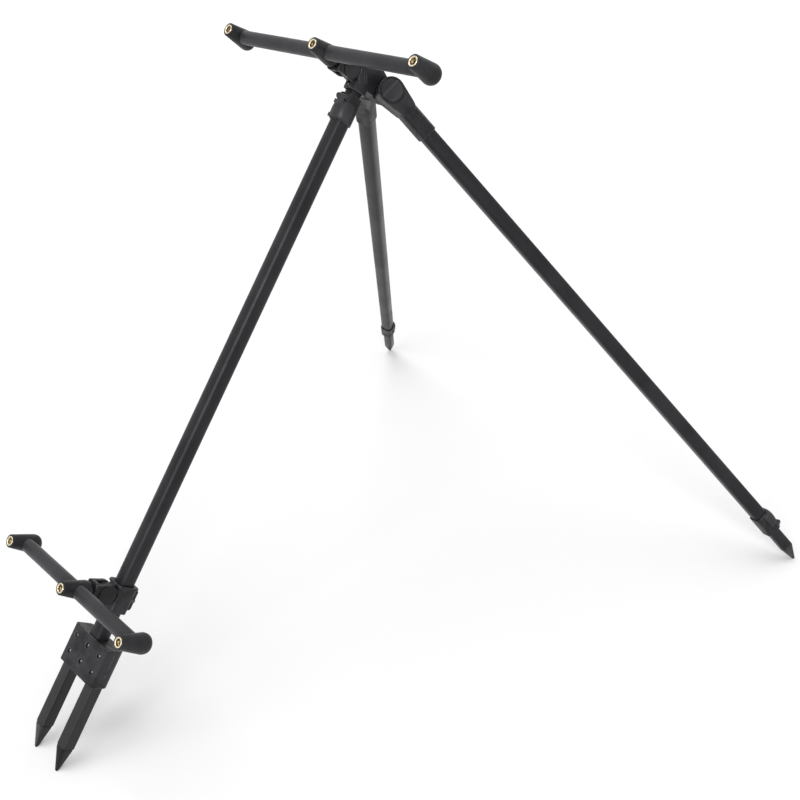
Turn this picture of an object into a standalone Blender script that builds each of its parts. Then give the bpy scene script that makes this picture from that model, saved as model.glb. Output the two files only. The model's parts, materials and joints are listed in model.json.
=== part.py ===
# Folding tripod that holds three fishing rods: a front leg of square tube on a two-spike fork,
# two rear legs that fold against it, and two cross bars whose brass inserts take the rod rests.
# Metres, +Z up. The cross bars run along X and the front leg lies in the YZ plane, towards -Y.
import math

import bmesh
import bpy
from mathutils import Matrix, Vector

# The stance: the front leg's slope and the spots where the rear legs stand
FRONT_LEG_LENGTH = 0.9651
FRONT_LEG_SLOPE = math.radians(50.668)
RIGHT_FOOT_SPOT = (0.4890, 0.3954)
LEFT_FOOT_SPOT = (-0.4925, 0.4678)

# Square leg tube, the inner one sliding in the outer one
TUBE_SIDE = 0.0205
TUBE_WALL = 0.0013
TUBE_CORNER = 0.0048
GAP = 0.0003
SCREW_GAP = 0.0003
ROOM_STEP = 0.00005

# Head: the socket of the front leg, the trunk behind it and the lugs of the rear legs
SOCKET_TOP = -0.004
SOCKET_END = 0.040
SOCKET_FLOOR = 0.006
SOCKET_WALL = 0.0032
TRUNK_HALF = 0.0120
TRUNK_FRONT_RADIUS = 0.0200
TRUNK_FRONT_DOWN = 0.0130
TRUNK_FRONT_BEHIND = 0.0026
TRUNK_PAST_HINGE = 0.0058
HINGE_DOWN = 0.0180
HINGE_BEHIND = 0.0314
HINGE_ASIDE = 0.0242
LUG_RADIUS = 0.0140
LUG_LENGTH = 0.0160
LEG_SCREW_DOWN = 0.0362
LEG_SCREW_BOSS = 0.0038
LEG_SCREW_BOSS_HEIGHT = 0.0019

# Cross bars: each stands on a tilting pivot, a little tilted down the leg as photographed
FACE_ABOVE_PIVOT = 0.0625
BAR_BELOW_FACE = 0.0225
BAR_RADIUS = 0.0090
BAR_WALL = 0.0014
TOP_PIVOT_DOWN = 0.0203
TOP_PIVOT_HEIGHT = 0.0275
TOP_BAR_TILT = math.radians(5.4)
TOP_BAR_SPACING = 0.1678
BUTT_PIVOT_HEIGHT = 0.0248
BUTT_BAR_TILT = math.radians(2.7)
BUTT_BAR_SPACING = 0.1322
BAR_PAST_HOLDER = 0.0050

# Rod rest holders and their brass inserts
HOLDER_LENGTH = 0.0415
HOLDER_MOUTH_RADIUS = 0.0086
HOLDER_BELLY_RADIUS = 0.0125
HOLDER_FOOT_RADIUS = 0.0072
HOLDER_FOOT_ROUND = 0.0090
HOLDER_MOUTH_CHAMFER = 0.0009
INSERT_RADIUS = 0.0063
INSERT_BORE = 0.0042
INSERT_LENGTH = 0.0120
INSERT_PROUD = 0.0002

# Tilting bracket under each middle holder
TONGUE_HALF = 0.0052
TONGUE_RADIUS = 0.0112
EAR_THICKNESS = 0.0048
EAR_RADIUS = 0.0132
CRADLE_THICKNESS = 0.0045
CRADLE_LENGTH = 0.0270
CRADLE_CORNER = 0.0044
TILT_PIN_RADIUS = 0.0025

# Cam lock at the end of an outer tube, measured from the mouth that the inner tube leaves
LOCK_LENGTH = 0.0360
LOCK_MOUTH = 0.0100
LOCK_WALL = 0.0016
LOCK_CHEEK = 0.0034
CAM_PIN_IN = 0.0064
CAM_PIN_RADIUS = 0.0014
CAM_RADIUS = 0.0036
CAM_LOBE = 0.0008
CAM_HALF = 0.0054
LEVER_EDGE = 0.0022
LEVER_ARCH = 0.0040
LEVER_HALF = 0.0116
LEVER_SHORT = 0.0015
LEVER_STEPS = 8
FRONT_LOCK_DOWN = 0.0460

# Butt clamp that slides on the front leg, above the fork
BUTT_CLAMP_ABOVE_FORK = 0.0560
BUTT_TONGUE_UP = 0.0030
CLAMP_LENGTH = 0.0365
CLAMP_WALL = 0.0032
CLAMP_LIP = 0.0020
CLAMP_LIP_THICKNESS = 0.0030
PINCH_SLIT = 0.0016
PINCH_EAR = 0.0072
PINCH_DEPTH = 0.0072
PINCH_HEIGHT = 0.0280
PINCH_CORNER = 0.0034
PINCH_BOLT_RADIUS = 0.0020
PINCH_BOLT_HEAD = 0.0030
PINCH_BOLT_HEAD_DEPTH = 0.0024
PINCH_NUT_DEPTH = 0.0028

# Fork block at the foot of the front leg; its middle lies a little behind the leg's
SPIKE_REACH = 0.1733
FORK_LENGTH = 0.0510
FORK_HALF = 0.0380
FORK_THICKNESS = 0.0285
FORK_BEHIND = 0.0020
FORK_ROOF = 0.0060
FORK_FRONT_CORNER = 0.0030
FORK_BACK_CORNER = 0.0088
SPIKE_SPACING = 0.0270
FORK_SCREW_INSET = 0.0130
FORK_SCREW_PITCH = 0.0218
FORK_SCREW_RADIUS = 0.0016
FORK_SCREW_HEAD = 0.0030
FORK_SCREW_HEAD_DEPTH = 0.0022
FORK_SCREW_BITE = 0.0105

# Rear legs: the knuckle, where the outer tube ends, and where the inner tube starts
KNUCKLE_RADIUS = 0.0170
KNUCKLE_HALF = 0.0123
KNUCKLE_FLARE = 0.0270
SLEEVE_END = 0.0720
SLEEVE_FLOOR = 0.0200
SLEEVE_WALL = 0.0016
CAP_RADIUS = 0.0147
CAP_THICKNESS = 0.0024
CAP_PROUD = 0.0006
CAP_EDGE = 0.0010
HINGE_BOLT_RADIUS = 0.0040
HINGE_BOLT_HEAD = 0.0070
HINGE_BOLT_HEAD_DEPTH = 0.0045
HINGE_BOLT_BITE = 0.0120
REAR_OUTER_LENGTH = 0.8537
REAR_INNER_START = 0.5200
FRONT_INNER_END = 0.4000

# Pointed feet: how long the point is and how small its end
FOOT_POINT = 0.0320
SPIKE_POINT = 0.0375
FOOT_BROW = 0.0031
FOOT_END_HALF = 0.0021
FOOT_LEAN = 0.0048
FOOT_PLUG = 0.0120

ROUND_STEPS = 24
SMALL_STEPS = 12
CORNER_STEPS = 3
FORK_CORNER_STEPS = 4
FOOT_STEPS = 3
INSERT_STEPS = 16

# Pan-head screws: the rim's share of the head's height, and the crown's share of its width
SCREW_RIM = 0.6
SCREW_CROWN = 0.7

SMOOTH_ANGLE = math.radians(35)

# Sizes that follow from the ones above
INNER_SIDE = TUBE_SIDE - 2 * TUBE_WALL - 2 * GAP
BAR_ABOVE_PIVOT = FACE_ABOVE_PIVOT - BAR_BELOW_FACE
HOLDER_FOOT = HOLDER_LENGTH - BAR_BELOW_FACE
FORK_DOWN = FRONT_LEG_LENGTH - SPIKE_REACH
BUTT_CLAMP_DOWN = FORK_DOWN - BUTT_CLAMP_ABOVE_FORK
APEX_HEIGHT = FRONT_LEG_LENGTH * math.sin(FRONT_LEG_SLOPE)
APEX = Vector((0.0, 0.0, APEX_HEIGHT))
FRONT_ALONG = Vector((0.0, -math.cos(FRONT_LEG_SLOPE), -math.sin(FRONT_LEG_SLOPE)))
FRONT_OUTWARD = Vector((0.0, -math.sin(FRONT_LEG_SLOPE), math.cos(FRONT_LEG_SLOPE)))


# Frames: local X lies aside, local Y points outward from the leg and local Z along it
def frame_at(origin, along, outward):
    aside = outward.cross(along).normalized()
    outward = along.cross(aside).normalized()
    columns = (aside, outward, along.normalized())
    turning = Matrix([[axis[row] for axis in columns] for row in range(3)]).to_4x4()
    return Matrix.Translation(origin) @ turning


def moved(frame, aside=0.0, outward=0.0, along=0.0):
    return frame @ Matrix.Translation((aside, outward, along))


def tilted(frame, angle):
    return frame @ Matrix.Rotation(angle, 4, "X")


def rear_frame(side):
    spot = RIGHT_FOOT_SPOT if side == "right" else LEFT_FOOT_SPOT
    aside = HINGE_ASIDE if side == "right" else -HINGE_ASIDE
    hinge = moved(FRONT_FRAME, aside, -HINGE_BEHIND, HINGE_DOWN).translation
    along = (Vector((spot[0], spot[1], 0.0)) - hinge).normalized()
    hinge_axis = along.cross(FRONT_ALONG).normalized()
    return frame_at(hinge, along, along.cross(hinge_axis))


def folded_frame(side):
    opened = rear_frame(side)
    hinge_axis = opened.col[0].to_3d()
    return frame_at(opened.translation, FRONT_ALONG, FRONT_ALONG.cross(hinge_axis))


def cap_sign(side):
    """The side of the knuckle, along its own X, that carries the round cap."""
    return -1 if side == "right" else 1


FRONT_FRAME = frame_at(APEX, FRONT_ALONG, FRONT_OUTWARD)


# Materials
def plastic_material(name, color, roughness):
    material = bpy.data.materials.new(name)
    material.use_nodes = True
    shader = material.node_tree.nodes["Principled BSDF"]
    shader.inputs["Base Color"].default_value = (*color, 1.0)
    shader.inputs["Roughness"].default_value = roughness
    return material


def metal_material(name, color, roughness):
    material = plastic_material(name, color, roughness)
    material.node_tree.nodes["Principled BSDF"].inputs["Metallic"].default_value = 1.0
    return material


# Outlines in a plane, counter-clockwise
def circle(radius, steps=ROUND_STEPS, center=(0.0, 0.0)):
    turns = (2 * math.pi * k / steps for k in range(steps))
    return [(center[0] + radius * math.cos(t), center[1] + radius * math.sin(t)) for t in turns]


def rounded_box(width, height, corner, center=(0.0, 0.0), steps=CORNER_STEPS):
    outline = []
    for quarter in range(4):
        sign_a = 1 if quarter in (0, 3) else -1
        sign_b = 1 if quarter in (0, 1) else -1
        middle_a = center[0] + sign_a * (width / 2 - corner)
        middle_b = center[1] + sign_b * (height / 2 - corner)
        for step in range(steps + 1):
            turn = math.pi / 2 * (quarter + step / steps)
            outline.append((middle_a + corner * math.cos(turn), middle_b + corner * math.sin(turn)))
    return outline


def link(center_a, radius_a, center_b, radius_b, steps=SMALL_STEPS):
    """Outline of two discs of unlike radius and the straight sides that touch both."""
    run = math.hypot(center_b[0] - center_a[0], center_b[1] - center_a[1])
    heading = math.atan2(center_b[1] - center_a[1], center_b[0] - center_a[0])
    lean = math.acos((radius_a - radius_b) / run)
    outline = []
    for center, radius, start, end in (
        (center_a, radius_a, heading + lean, heading + 2 * math.pi - lean),
        (center_b, radius_b, heading - lean, heading + lean),
    ):
        for step in range(steps + 1):
            turn = start + (end - start) * step / steps
            outline.append((center[0] + radius * math.cos(turn), center[1] + radius * math.sin(turn)))
    return outline


# Solids: a loft runs through loops of points and is capped, or closed on itself
def on_axis(axis, outline, height):
    points = []
    for first, second in outline:
        place = [0.0, 0.0, 0.0]
        place[(axis + 1) % 3] = first
        place[(axis + 2) % 3] = second
        place[axis] = height
        points.append(Vector(place))
    return points


def loft(name, loops, frame=None, closed=False):
    shape = bmesh.new()
    rings = [[shape.verts.new(frame @ p if frame else p) for p in loop] for loop in loops]
    count = len(rings[0])
    pairs = list(zip(rings, rings[1:]))
    if closed:
        pairs.append((rings[-1], rings[0]))
    else:
        shape.faces.new(rings[0])
        shape.faces.new(rings[-1])
    for lower, upper in pairs:
        for k in range(count):
            after = (k + 1) % count
            shape.faces.new((lower[k], lower[after], upper[after], upper[k]))
    bmesh.ops.recalc_face_normals(shape, faces=shape.faces[:])
    mesh = bpy.data.meshes.new(name)
    shape.to_mesh(mesh)
    shape.free()
    solid = bpy.data.objects.new(name, mesh)
    bpy.context.scene.collection.objects.link(solid)
    return solid


def prism(name, outline, axis, low, high, frame=None):
    return loft(name, [on_axis(axis, outline, low), on_axis(axis, outline, high)], frame)


def ring_prism(name, outer, inner, axis, low, high, frame=None):
    loops = [on_axis(axis, outer, low), on_axis(axis, outer, high)]
    loops += [on_axis(axis, inner, high), on_axis(axis, inner, low)]
    return loft(name, loops, frame, closed=True)


def turned(name, profile, axis, steps=ROUND_STEPS, center=(0.0, 0.0), frame=None, closed=False):
    loops = [on_axis(axis, circle(radius, steps, center), height) for radius, height in profile]
    return loft(name, loops, frame, closed)


def box(name, low, high, frame=None):
    outline = [(low[0], low[1]), (high[0], low[1]), (high[0], high[1]), (low[0], high[1])]
    return prism(name, outline, 2, low[2], high[2], frame)


def apply_boolean(solid, others, operation):
    for other in others:
        change = solid.modifiers.new(operation.lower(), "BOOLEAN")
        change.operation = operation
        change.object = other
    depsgraph = bpy.context.evaluated_depsgraph_get()
    mesh = bpy.data.meshes.new_from_object(solid.evaluated_get(depsgraph))
    solid.modifiers.clear()
    solid.data = mesh
    for other in others:
        bpy.data.objects.remove(other)
    return solid


def carve(solid, *cutters):
    return apply_boolean(solid, cutters, "DIFFERENCE")


def weld(solid, *others):
    return apply_boolean(solid, others, "UNION")


def finish(solid, frame, parent, material):
    solid.data.materials.clear()
    solid.data.materials.append(material)
    solid.data.shade_smooth()
    solid.data.set_sharp_from_angle(angle=SMOOTH_ANGLE)
    solid.parent = parent
    solid.matrix_basis = parent.matrix_world.inverted() @ frame
    return solid


def joint_empty(name, frame, parent=None):
    empty = bpy.data.objects.new(name, None)
    bpy.context.scene.collection.objects.link(empty)
    empty.empty_display_size = TUBE_SIDE
    if parent:
        empty.parent = parent
        empty.matrix_basis = parent.matrix_world.inverted() @ frame
    else:
        empty.matrix_basis = frame
    bpy.context.view_layer.update()
    return empty


def square(side, corner=TUBE_CORNER):
    return rounded_box(side, side, corner)


def tube(name, side, start, end):
    hollow = side - 2 * TUBE_WALL
    return ring_prism(name, square(side), square(hollow, TUBE_CORNER - TUBE_WALL / 2), 2, start, end)


# Head
def lug(side):
    """The boss that a rear leg's knuckle turns against, along that leg's hinge."""
    frame = FRONT_FRAME.inverted() @ rear_frame(side)
    inside = -cap_sign(side) * KNUCKLE_HALF / 2
    far = -cap_sign(side) * (KNUCKLE_HALF + GAP + LUG_LENGTH)
    return prism("lug", circle(LUG_RADIUS), 0, min(inside, far), max(inside, far), frame)


def knuckle_room(side):
    """The room that a knuckle and its sleeve sweep while the leg folds; no two cuts share a plane."""
    opened = FRONT_FRAME.inverted() @ rear_frame(side)
    folded = FRONT_FRAME.inverted() @ folded_frame(side)
    rooms = []
    for number, (name, outline, frame) in enumerate((
        ("drum room", circle(KNUCKLE_RADIUS + GAP), opened),
        ("neck room", neck_outline(2 * GAP), folded),
        ("arm room", arm_room_outline(), folded),
    )):
        near = -cap_sign(side) * (KNUCKLE_HALF + GAP - number * ROOM_STEP)
        far = cap_sign(side) * (3 * KNUCKLE_HALF + number * ROOM_STEP)
        rooms.append(prism(name, outline, 0, min(near, far), max(near, far), frame))
    return rooms


def neck_outline(spare):
    neck = (0.0, KNUCKLE_FLARE)
    return link((0.0, 0.0), KNUCKLE_RADIUS + spare, neck, sleeve_side() / 2 + spare)


def arm_room_outline():
    low = -sleeve_side() / 2 - 3 * GAP
    reach = 4 * KNUCKLE_RADIUS
    return [(low, 0.0), (reach, 0.0), (reach, reach), (low, reach)]


def hinge_bolt_room(side):
    frame = FRONT_FRAME.inverted() @ rear_frame(side)
    start = -cap_sign(side) * KNUCKLE_HALF / 3
    end = -cap_sign(side) * (hinge_bolt_reach() + GAP)
    outline = circle(HINGE_BOLT_RADIUS + SCREW_GAP, SMALL_STEPS)
    return prism("bolt room", outline, 0, min(start, end), max(start, end), frame)


def hinge_bolt_reach():
    return KNUCKLE_HALF + GAP + HINGE_BOLT_BITE


def tongue(name, height, down):
    """The flat tongue that a tilting bracket's two ears straddle."""
    tip = (height, down)
    root = (INNER_SIDE / 2, down)
    return prism(name, link(root, EAR_RADIUS, tip, TONGUE_RADIUS), 0, -TONGUE_HALF, TONGUE_HALF)


def ear_room(height, down):
    outline = circle(EAR_RADIUS + GAP, ROUND_STEPS, (height, down))
    reach = TONGUE_HALF + GAP + 2 * EAR_THICKNESS
    right = prism("ear room", outline, 0, TONGUE_HALF, reach)
    left = prism("ear room", outline, 0, -reach, -TONGUE_HALF)
    return [right, left]


def tilt_pin_room(height, down):
    start = -TONGUE_HALF - 2 * EAR_THICKNESS
    outline = circle(TILT_PIN_RADIUS + SCREW_GAP, SMALL_STEPS, (height, down))
    return prism("pin room", outline, 0, start, TONGUE_HALF + EAR_THICKNESS / 2)


def head_body(parent, material):
    trunk_outline = link(
        (-HINGE_BEHIND - TRUNK_PAST_HINGE, HINGE_DOWN), LUG_RADIUS,
        (-TRUNK_FRONT_BEHIND, TRUNK_FRONT_DOWN), TRUNK_FRONT_RADIUS,
    )
    body = prism("head_body", trunk_outline, 0, -TRUNK_HALF, TRUNK_HALF)
    socket_side = INNER_SIDE + 2 * GAP + 2 * SOCKET_WALL
    socket_outline = square(socket_side, TUBE_CORNER + SOCKET_WALL / 2)
    socket = prism("socket", socket_outline, 2, SOCKET_TOP, SOCKET_END)
    boss_top = socket_side / 2 + LEG_SCREW_BOSS_HEIGHT
    boss = prism("boss", circle(LEG_SCREW_BOSS, SMALL_STEPS, (LEG_SCREW_DOWN, 0.0)), 1, 0.0, boss_top)
    pivot = (TOP_PIVOT_HEIGHT, TOP_PIVOT_DOWN)
    weld(body, socket, boss, tongue("tongue", *pivot), lug("right"), lug("left"))
    rooms = ear_room(*pivot) + knuckle_room("right") + knuckle_room("left")
    rooms += [hinge_bolt_room("right"), hinge_bolt_room("left"), tilt_pin_room(*pivot)]
    rooms.append(prism("leg room", square(INNER_SIDE + 2 * GAP), 2, SOCKET_FLOOR, 2 * SOCKET_END))
    rooms.append(leg_screw_room())
    carve(body, *rooms)
    return finish(body, FRONT_FRAME, parent, material)


def leg_screw_room():
    outline = circle(FORK_SCREW_RADIUS + SCREW_GAP, SMALL_STEPS, (LEG_SCREW_DOWN, 0.0))
    return prism("screw room", outline, 1, 0.0, 2 * SOCKET_END)


def front_inner_tube(parent, material):
    leg = tube("front_inner_tube", INNER_SIDE, SOCKET_FLOOR + GAP, FRONT_INNER_END)
    carve(leg, leg_screw_room())
    return finish(leg, FRONT_FRAME, parent, material)


def screw_profile(shank, head, reach, seat, height):
    """Half section of a pan-head screw, from its tip to the crown of its head."""
    return [
        (shank, seat - reach),
        (shank, seat),
        (head, seat),
        (head, seat + SCREW_RIM * height),
        (SCREW_CROWN * head, seat + height),
    ]


def head_leg_screw(parent, material):
    socket_side = INNER_SIDE + 2 * GAP + 2 * SOCKET_WALL
    seat = socket_side / 2 + LEG_SCREW_BOSS_HEIGHT + GAP
    reach = seat - INNER_SIDE / 2 + 2 * TUBE_WALL
    profile = screw_profile(FORK_SCREW_RADIUS, FORK_SCREW_HEAD, reach, seat, FORK_SCREW_HEAD_DEPTH)
    screw = turned("head_leg_screw", profile, 1, SMALL_STEPS, (LEG_SCREW_DOWN, 0.0))
    return finish(screw, FRONT_FRAME, parent, material)


def tilt_pin(name, height, down, frame, parent, material):
    start = -TONGUE_HALF - GAP - EAR_THICKNESS
    end = TONGUE_HALF + EAR_THICKNESS / 2 - GAP
    pin = prism(name, circle(TILT_PIN_RADIUS, SMALL_STEPS, (height, down)), 0, start, end)
    return finish(pin, frame, parent, material)


# Cross bars
def bracket(name, frame, parent, material):
    """Two round ears that hang from the cradle which carries the middle holder."""
    top = BAR_ABOVE_PIVOT - HOLDER_FOOT - GAP
    floor = top - CRADLE_THICKNESS
    outer = TONGUE_HALF + GAP + EAR_THICKNESS
    cradle_outline = rounded_box(CRADLE_LENGTH, 2 * outer, CRADLE_CORNER)
    part = prism(name, cradle_outline, 1, floor, top)
    ear_outline = link((0.0, 0.0), EAR_RADIUS, (floor + GAP, 0.0), EAR_RADIUS - 3 * GAP)
    plates = []
    for sign in (-1, 1):
        inner = sign * (TONGUE_HALF + GAP)
        plates.append(prism("ear", ear_outline, 0, min(inner, sign * outer), max(inner, sign * outer)))
    weld(part, *plates)
    headroom = box("headroom", (-2 * outer, top, -CRADLE_LENGTH), (2 * outer, 2 * top, CRADLE_LENGTH))
    start = -2 * outer
    hole = circle(TILT_PIN_RADIUS + SCREW_GAP, SMALL_STEPS)
    pin_room = prism("pin room", hole, 0, start, TONGUE_HALF + EAR_THICKNESS / 2)
    carve(part, headroom, pin_room)
    return finish(part, frame, parent, material)


def cross_bar(name, spacing, frame, parent, material):
    end = spacing + BAR_PAST_HOLDER
    hollow = circle(BAR_RADIUS - BAR_WALL)
    bar = ring_prism(name, circle(BAR_RADIUS), hollow, 0, -end, end)
    return finish(bar, frame, parent, material)


def holder(name, place, reach, frame, parent, material):
    """A tapered, round-ended holder; reach says how far the bar's hole runs to each side."""
    face = BAR_BELOW_FACE
    foot = -HOLDER_FOOT
    swell = HOLDER_BELLY_RADIUS - HOLDER_FOOT_RADIUS
    profile = []
    for step in range(FOOT_STEPS + 1):
        turn = math.pi / 2 * step / FOOT_STEPS
        height = foot + HOLDER_FOOT_ROUND * (1 - math.cos(turn))
        profile.append((HOLDER_FOOT_RADIUS + swell * math.sin(turn), height))
    profile.append((HOLDER_MOUTH_RADIUS, face - HOLDER_MOUTH_CHAMFER))
    profile.append((HOLDER_MOUTH_RADIUS - HOLDER_MOUTH_CHAMFER, face))
    part = turned(name, profile, 1)
    insert_room = turned("insert room", [
        (INSERT_RADIUS + GAP, face - INSERT_LENGTH - GAP),
        (INSERT_RADIUS + GAP, face + GAP),
    ], 1)
    bar_room = prism("bar room", circle(BAR_RADIUS + GAP), 0, -reach[0], reach[1])
    carve(part, insert_room, bar_room)
    return finish(part, moved(frame, place), parent, material)


def insert(name, place, frame, parent, material):
    """The threaded brass insert, drawn with a plain bore and a chamfered mouth."""
    face = BAR_BELOW_FACE + INSERT_PROUD
    bottom = BAR_BELOW_FACE - INSERT_LENGTH
    chamfer = (INSERT_RADIUS - INSERT_BORE) / 4
    profile = [
        (INSERT_RADIUS, bottom),
        (INSERT_RADIUS, face - chamfer),
        (INSERT_RADIUS - chamfer, face),
        (INSERT_BORE + chamfer, face),
        (INSERT_BORE, face - chamfer),
        (INSERT_BORE, bottom),
    ]
    part = turned(name, profile, 1, INSERT_STEPS, closed=True)
    return finish(part, moved(frame, place), parent, material)


def bar_set(prefix, spacing, pivot, materials):
    """A tilting bracket with its cross bar, three holders and three inserts."""
    plastic, paint, brass = materials
    pivot_frame = pivot.matrix_world.copy()
    bar_frame = moved(pivot_frame, 0.0, BAR_ABOVE_PIVOT)
    bracket(prefix + "_bracket", pivot_frame, pivot, plastic)
    cross_bar(prefix + "_bar", spacing, bar_frame, pivot, paint)
    past = 2 * HOLDER_BELLY_RADIUS
    stop = BAR_PAST_HOLDER + GAP
    places = (
        ("left", -spacing, (stop, past)),
        ("middle", 0.0, (past, past)),
        ("right", spacing, (past, stop)),
    )
    for side, place, reach in places:
        holder(f"{prefix}_holder_{side}", place, reach, bar_frame, pivot, plastic)
        insert(f"{prefix}_insert_{side}", place, bar_frame, pivot, brass)


# Cam locks, drawn in a frame at the mouth with local Z towards the outer tube
def cam_height():
    return INNER_SIDE / 2 + GAP + CAM_RADIUS + CAM_LOBE


def lock_side():
    return TUBE_SIDE + 2 * GAP + 2 * LOCK_WALL


def lock_collar(name, frame, parent, material):
    collar = prism(name, square(lock_side(), TUBE_CORNER + LOCK_WALL), 2, 0.0, LOCK_LENGTH)
    cheek_center = (cam_height(), CAM_PIN_IN)
    cheek_root = (lock_side() / 4, CAM_PIN_IN)
    cheek_outline = link(cheek_root, CAM_PIN_IN, cheek_center, CAM_RADIUS)
    cheeks = []
    for sign in (-1, 1):
        inner = sign * (CAM_HALF + GAP)
        outer = sign * (CAM_HALF + GAP + LOCK_CHEEK)
        cheeks.append(prism("cheek", cheek_outline, 0, min(inner, outer), max(inner, outer)))
    weld(collar, *cheeks)
    tube_room = prism("tube room", square(TUBE_SIDE + 2 * GAP), 2, LOCK_MOUTH, 2 * LOCK_LENGTH)
    mouth_room = prism("mouth room", square(INNER_SIDE + 2 * GAP), 2, -LOCK_MOUTH, 2 * LOCK_MOUTH)
    lobe = CAM_RADIUS + CAM_LOBE
    window_half = CAM_HALF + GAP
    window = box(
        "window",
        (-window_half, 0.0, CAM_PIN_IN - lobe - GAP),
        (window_half, 2 * cam_height(), CAM_PIN_IN + lobe + GAP),
    )
    pin_hole = circle(CAM_PIN_RADIUS + SCREW_GAP, SMALL_STEPS, cheek_center)
    pin_room = prism("pin room", pin_hole, 0, -2 * LEVER_HALF, 2 * LEVER_HALF)
    carve(collar, tube_room, mouth_room, window, pin_room)
    return finish(collar, frame, parent, material)


def lock_pin(name, frame, parent, material):
    reach = CAM_HALF + GAP + LOCK_CHEEK
    pin = prism(name, circle(CAM_PIN_RADIUS, SMALL_STEPS), 0, -reach, reach)
    return finish(pin, moved(frame, 0.0, cam_height(), CAM_PIN_IN), parent, material)


def lock_lever(name, frame, parent, material):
    """An eccentric cam that presses the inner tube, with a paddle that lies on the collar."""
    offset = CAM_LOBE
    cam = prism(name, circle(CAM_RADIUS, ROUND_STEPS, (-offset, 0.0)), 0, -CAM_HALF, CAM_HALF)
    rest = lock_side() / 2 + GAP - cam_height()
    tail = LOCK_LENGTH - CAM_PIN_IN - LEVER_SHORT
    shoulder = CAM_RADIUS + CAM_LOBE + 2 * GAP
    paddle_side = [(rest, tail), (rest, shoulder)]
    for step in range(LEVER_STEPS + 1):
        turn = math.pi * step / LEVER_STEPS
        height = rest + LEVER_EDGE + LEVER_ARCH * math.sin(turn)
        paddle_side.append((height, (shoulder + tail) / 2 - (tail - shoulder) / 2 * math.cos(turn)))
    paddle = prism("paddle", paddle_side, 0, -LEVER_HALF, LEVER_HALF)
    bridge_side = [
        (-offset, 0.0),
        (CAM_RADIUS - offset, 0.0),
        (rest + LEVER_EDGE, shoulder + LEVER_EDGE),
        (rest + GAP, shoulder + LEVER_EDGE),
    ]
    bridge = prism("bridge", bridge_side, 0, -CAM_HALF, CAM_HALF)
    weld(cam, bridge, paddle)
    hole = prism("hole", circle(CAM_PIN_RADIUS + SCREW_GAP, SMALL_STEPS), 0, -2 * CAM_HALF, 2 * CAM_HALF)
    carve(cam, hole)
    return finish(cam, moved(frame, 0.0, cam_height(), CAM_PIN_IN), parent, material)


def cam_lock(prefix, frame, parent, plastic, steel):
    lock_collar(prefix + "_lock_collar", frame, parent, plastic)
    lock_pin(prefix + "_lock_pin", frame, parent, steel)
    pivot = joint_empty(prefix + "_lever_pivot", moved(frame, 0.0, cam_height(), CAM_PIN_IN), parent)
    lock_lever(prefix + "_lock_lever", frame, pivot, plastic)


# Butt clamp
def clamp_side():
    return TUBE_SIDE + 2 * GAP + 2 * CLAMP_WALL


def butt_clamp(frame, parent, material):
    half = clamp_side() / 2
    top = -CLAMP_LENGTH / 2
    corner = TUBE_CORNER
    clamp = prism("butt_clamp", square(clamp_side(), corner), 2, top, -top)
    lip_side = clamp_side() + 2 * CLAMP_LIP
    lip = prism("lip", square(lip_side, corner + CLAMP_LIP), 2, top, top + CLAMP_LIP_THICKNESS)
    low = -half - PINCH_DEPTH
    wide = PINCH_SLIT / 2 + PINCH_EAR
    pinch_side = rounded_box(PINCH_DEPTH + half, PINCH_HEIGHT, PINCH_CORNER, (low / 2, 0.0))
    pinch = prism("pinch ears", pinch_side, 0, -wide, wide)
    pivot = (BUTT_PIVOT_HEIGHT, -BUTT_TONGUE_UP)
    weld(clamp, lip, tongue("tongue", *pivot), pinch)
    room = prism("tube room", square(TUBE_SIDE + 2 * GAP), 2, -CLAMP_LENGTH, CLAMP_LENGTH)
    slit = box("slit", (-PINCH_SLIT / 2, 2 * low, -CLAMP_LENGTH), (PINCH_SLIT / 2, 0.0, CLAMP_LENGTH))
    bolt_hole = circle(PINCH_BOLT_RADIUS + SCREW_GAP, SMALL_STEPS, pinch_bolt_center())
    bolt_room = prism("bolt room", bolt_hole, 0, -2 * wide, 2 * wide)
    rooms = ear_room(*pivot) + [room, slit, bolt_room, tilt_pin_room(*pivot)]
    carve(clamp, *rooms)
    return finish(clamp, frame, parent, material)


def pinch_bolt_center():
    return (-clamp_side() / 2 - PINCH_DEPTH / 2, 0.0)


def pinch_bolt(frame, parent, material):
    """A bolt across the pinch ears, with a round head on one side and a nut on the other."""
    seat = PINCH_SLIT / 2 + PINCH_EAR + GAP
    shank = PINCH_BOLT_RADIUS
    profile = [
        (PINCH_BOLT_HEAD, -seat - PINCH_NUT_DEPTH),
        (PINCH_BOLT_HEAD, -seat),
        (shank, -seat),
        (shank, seat),
        (PINCH_BOLT_HEAD, seat),
        (PINCH_BOLT_HEAD, seat + SCREW_RIM * PINCH_BOLT_HEAD_DEPTH),
        (SCREW_CROWN * PINCH_BOLT_HEAD, seat + PINCH_BOLT_HEAD_DEPTH),
    ]
    bolt = turned("butt_pinch_bolt", profile, 0, SMALL_STEPS, pinch_bolt_center())
    return finish(bolt, frame, parent, material)


# Fork block, two halves that six screws clamp on the leg tube and the two spikes
def fork_screw_places():
    rows = (FORK_SCREW_INSET, FORK_SCREW_INSET + FORK_SCREW_PITCH)
    return [(column * SPIKE_SPACING, row) for row in rows for column in (-1, 0, 1)]


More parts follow.
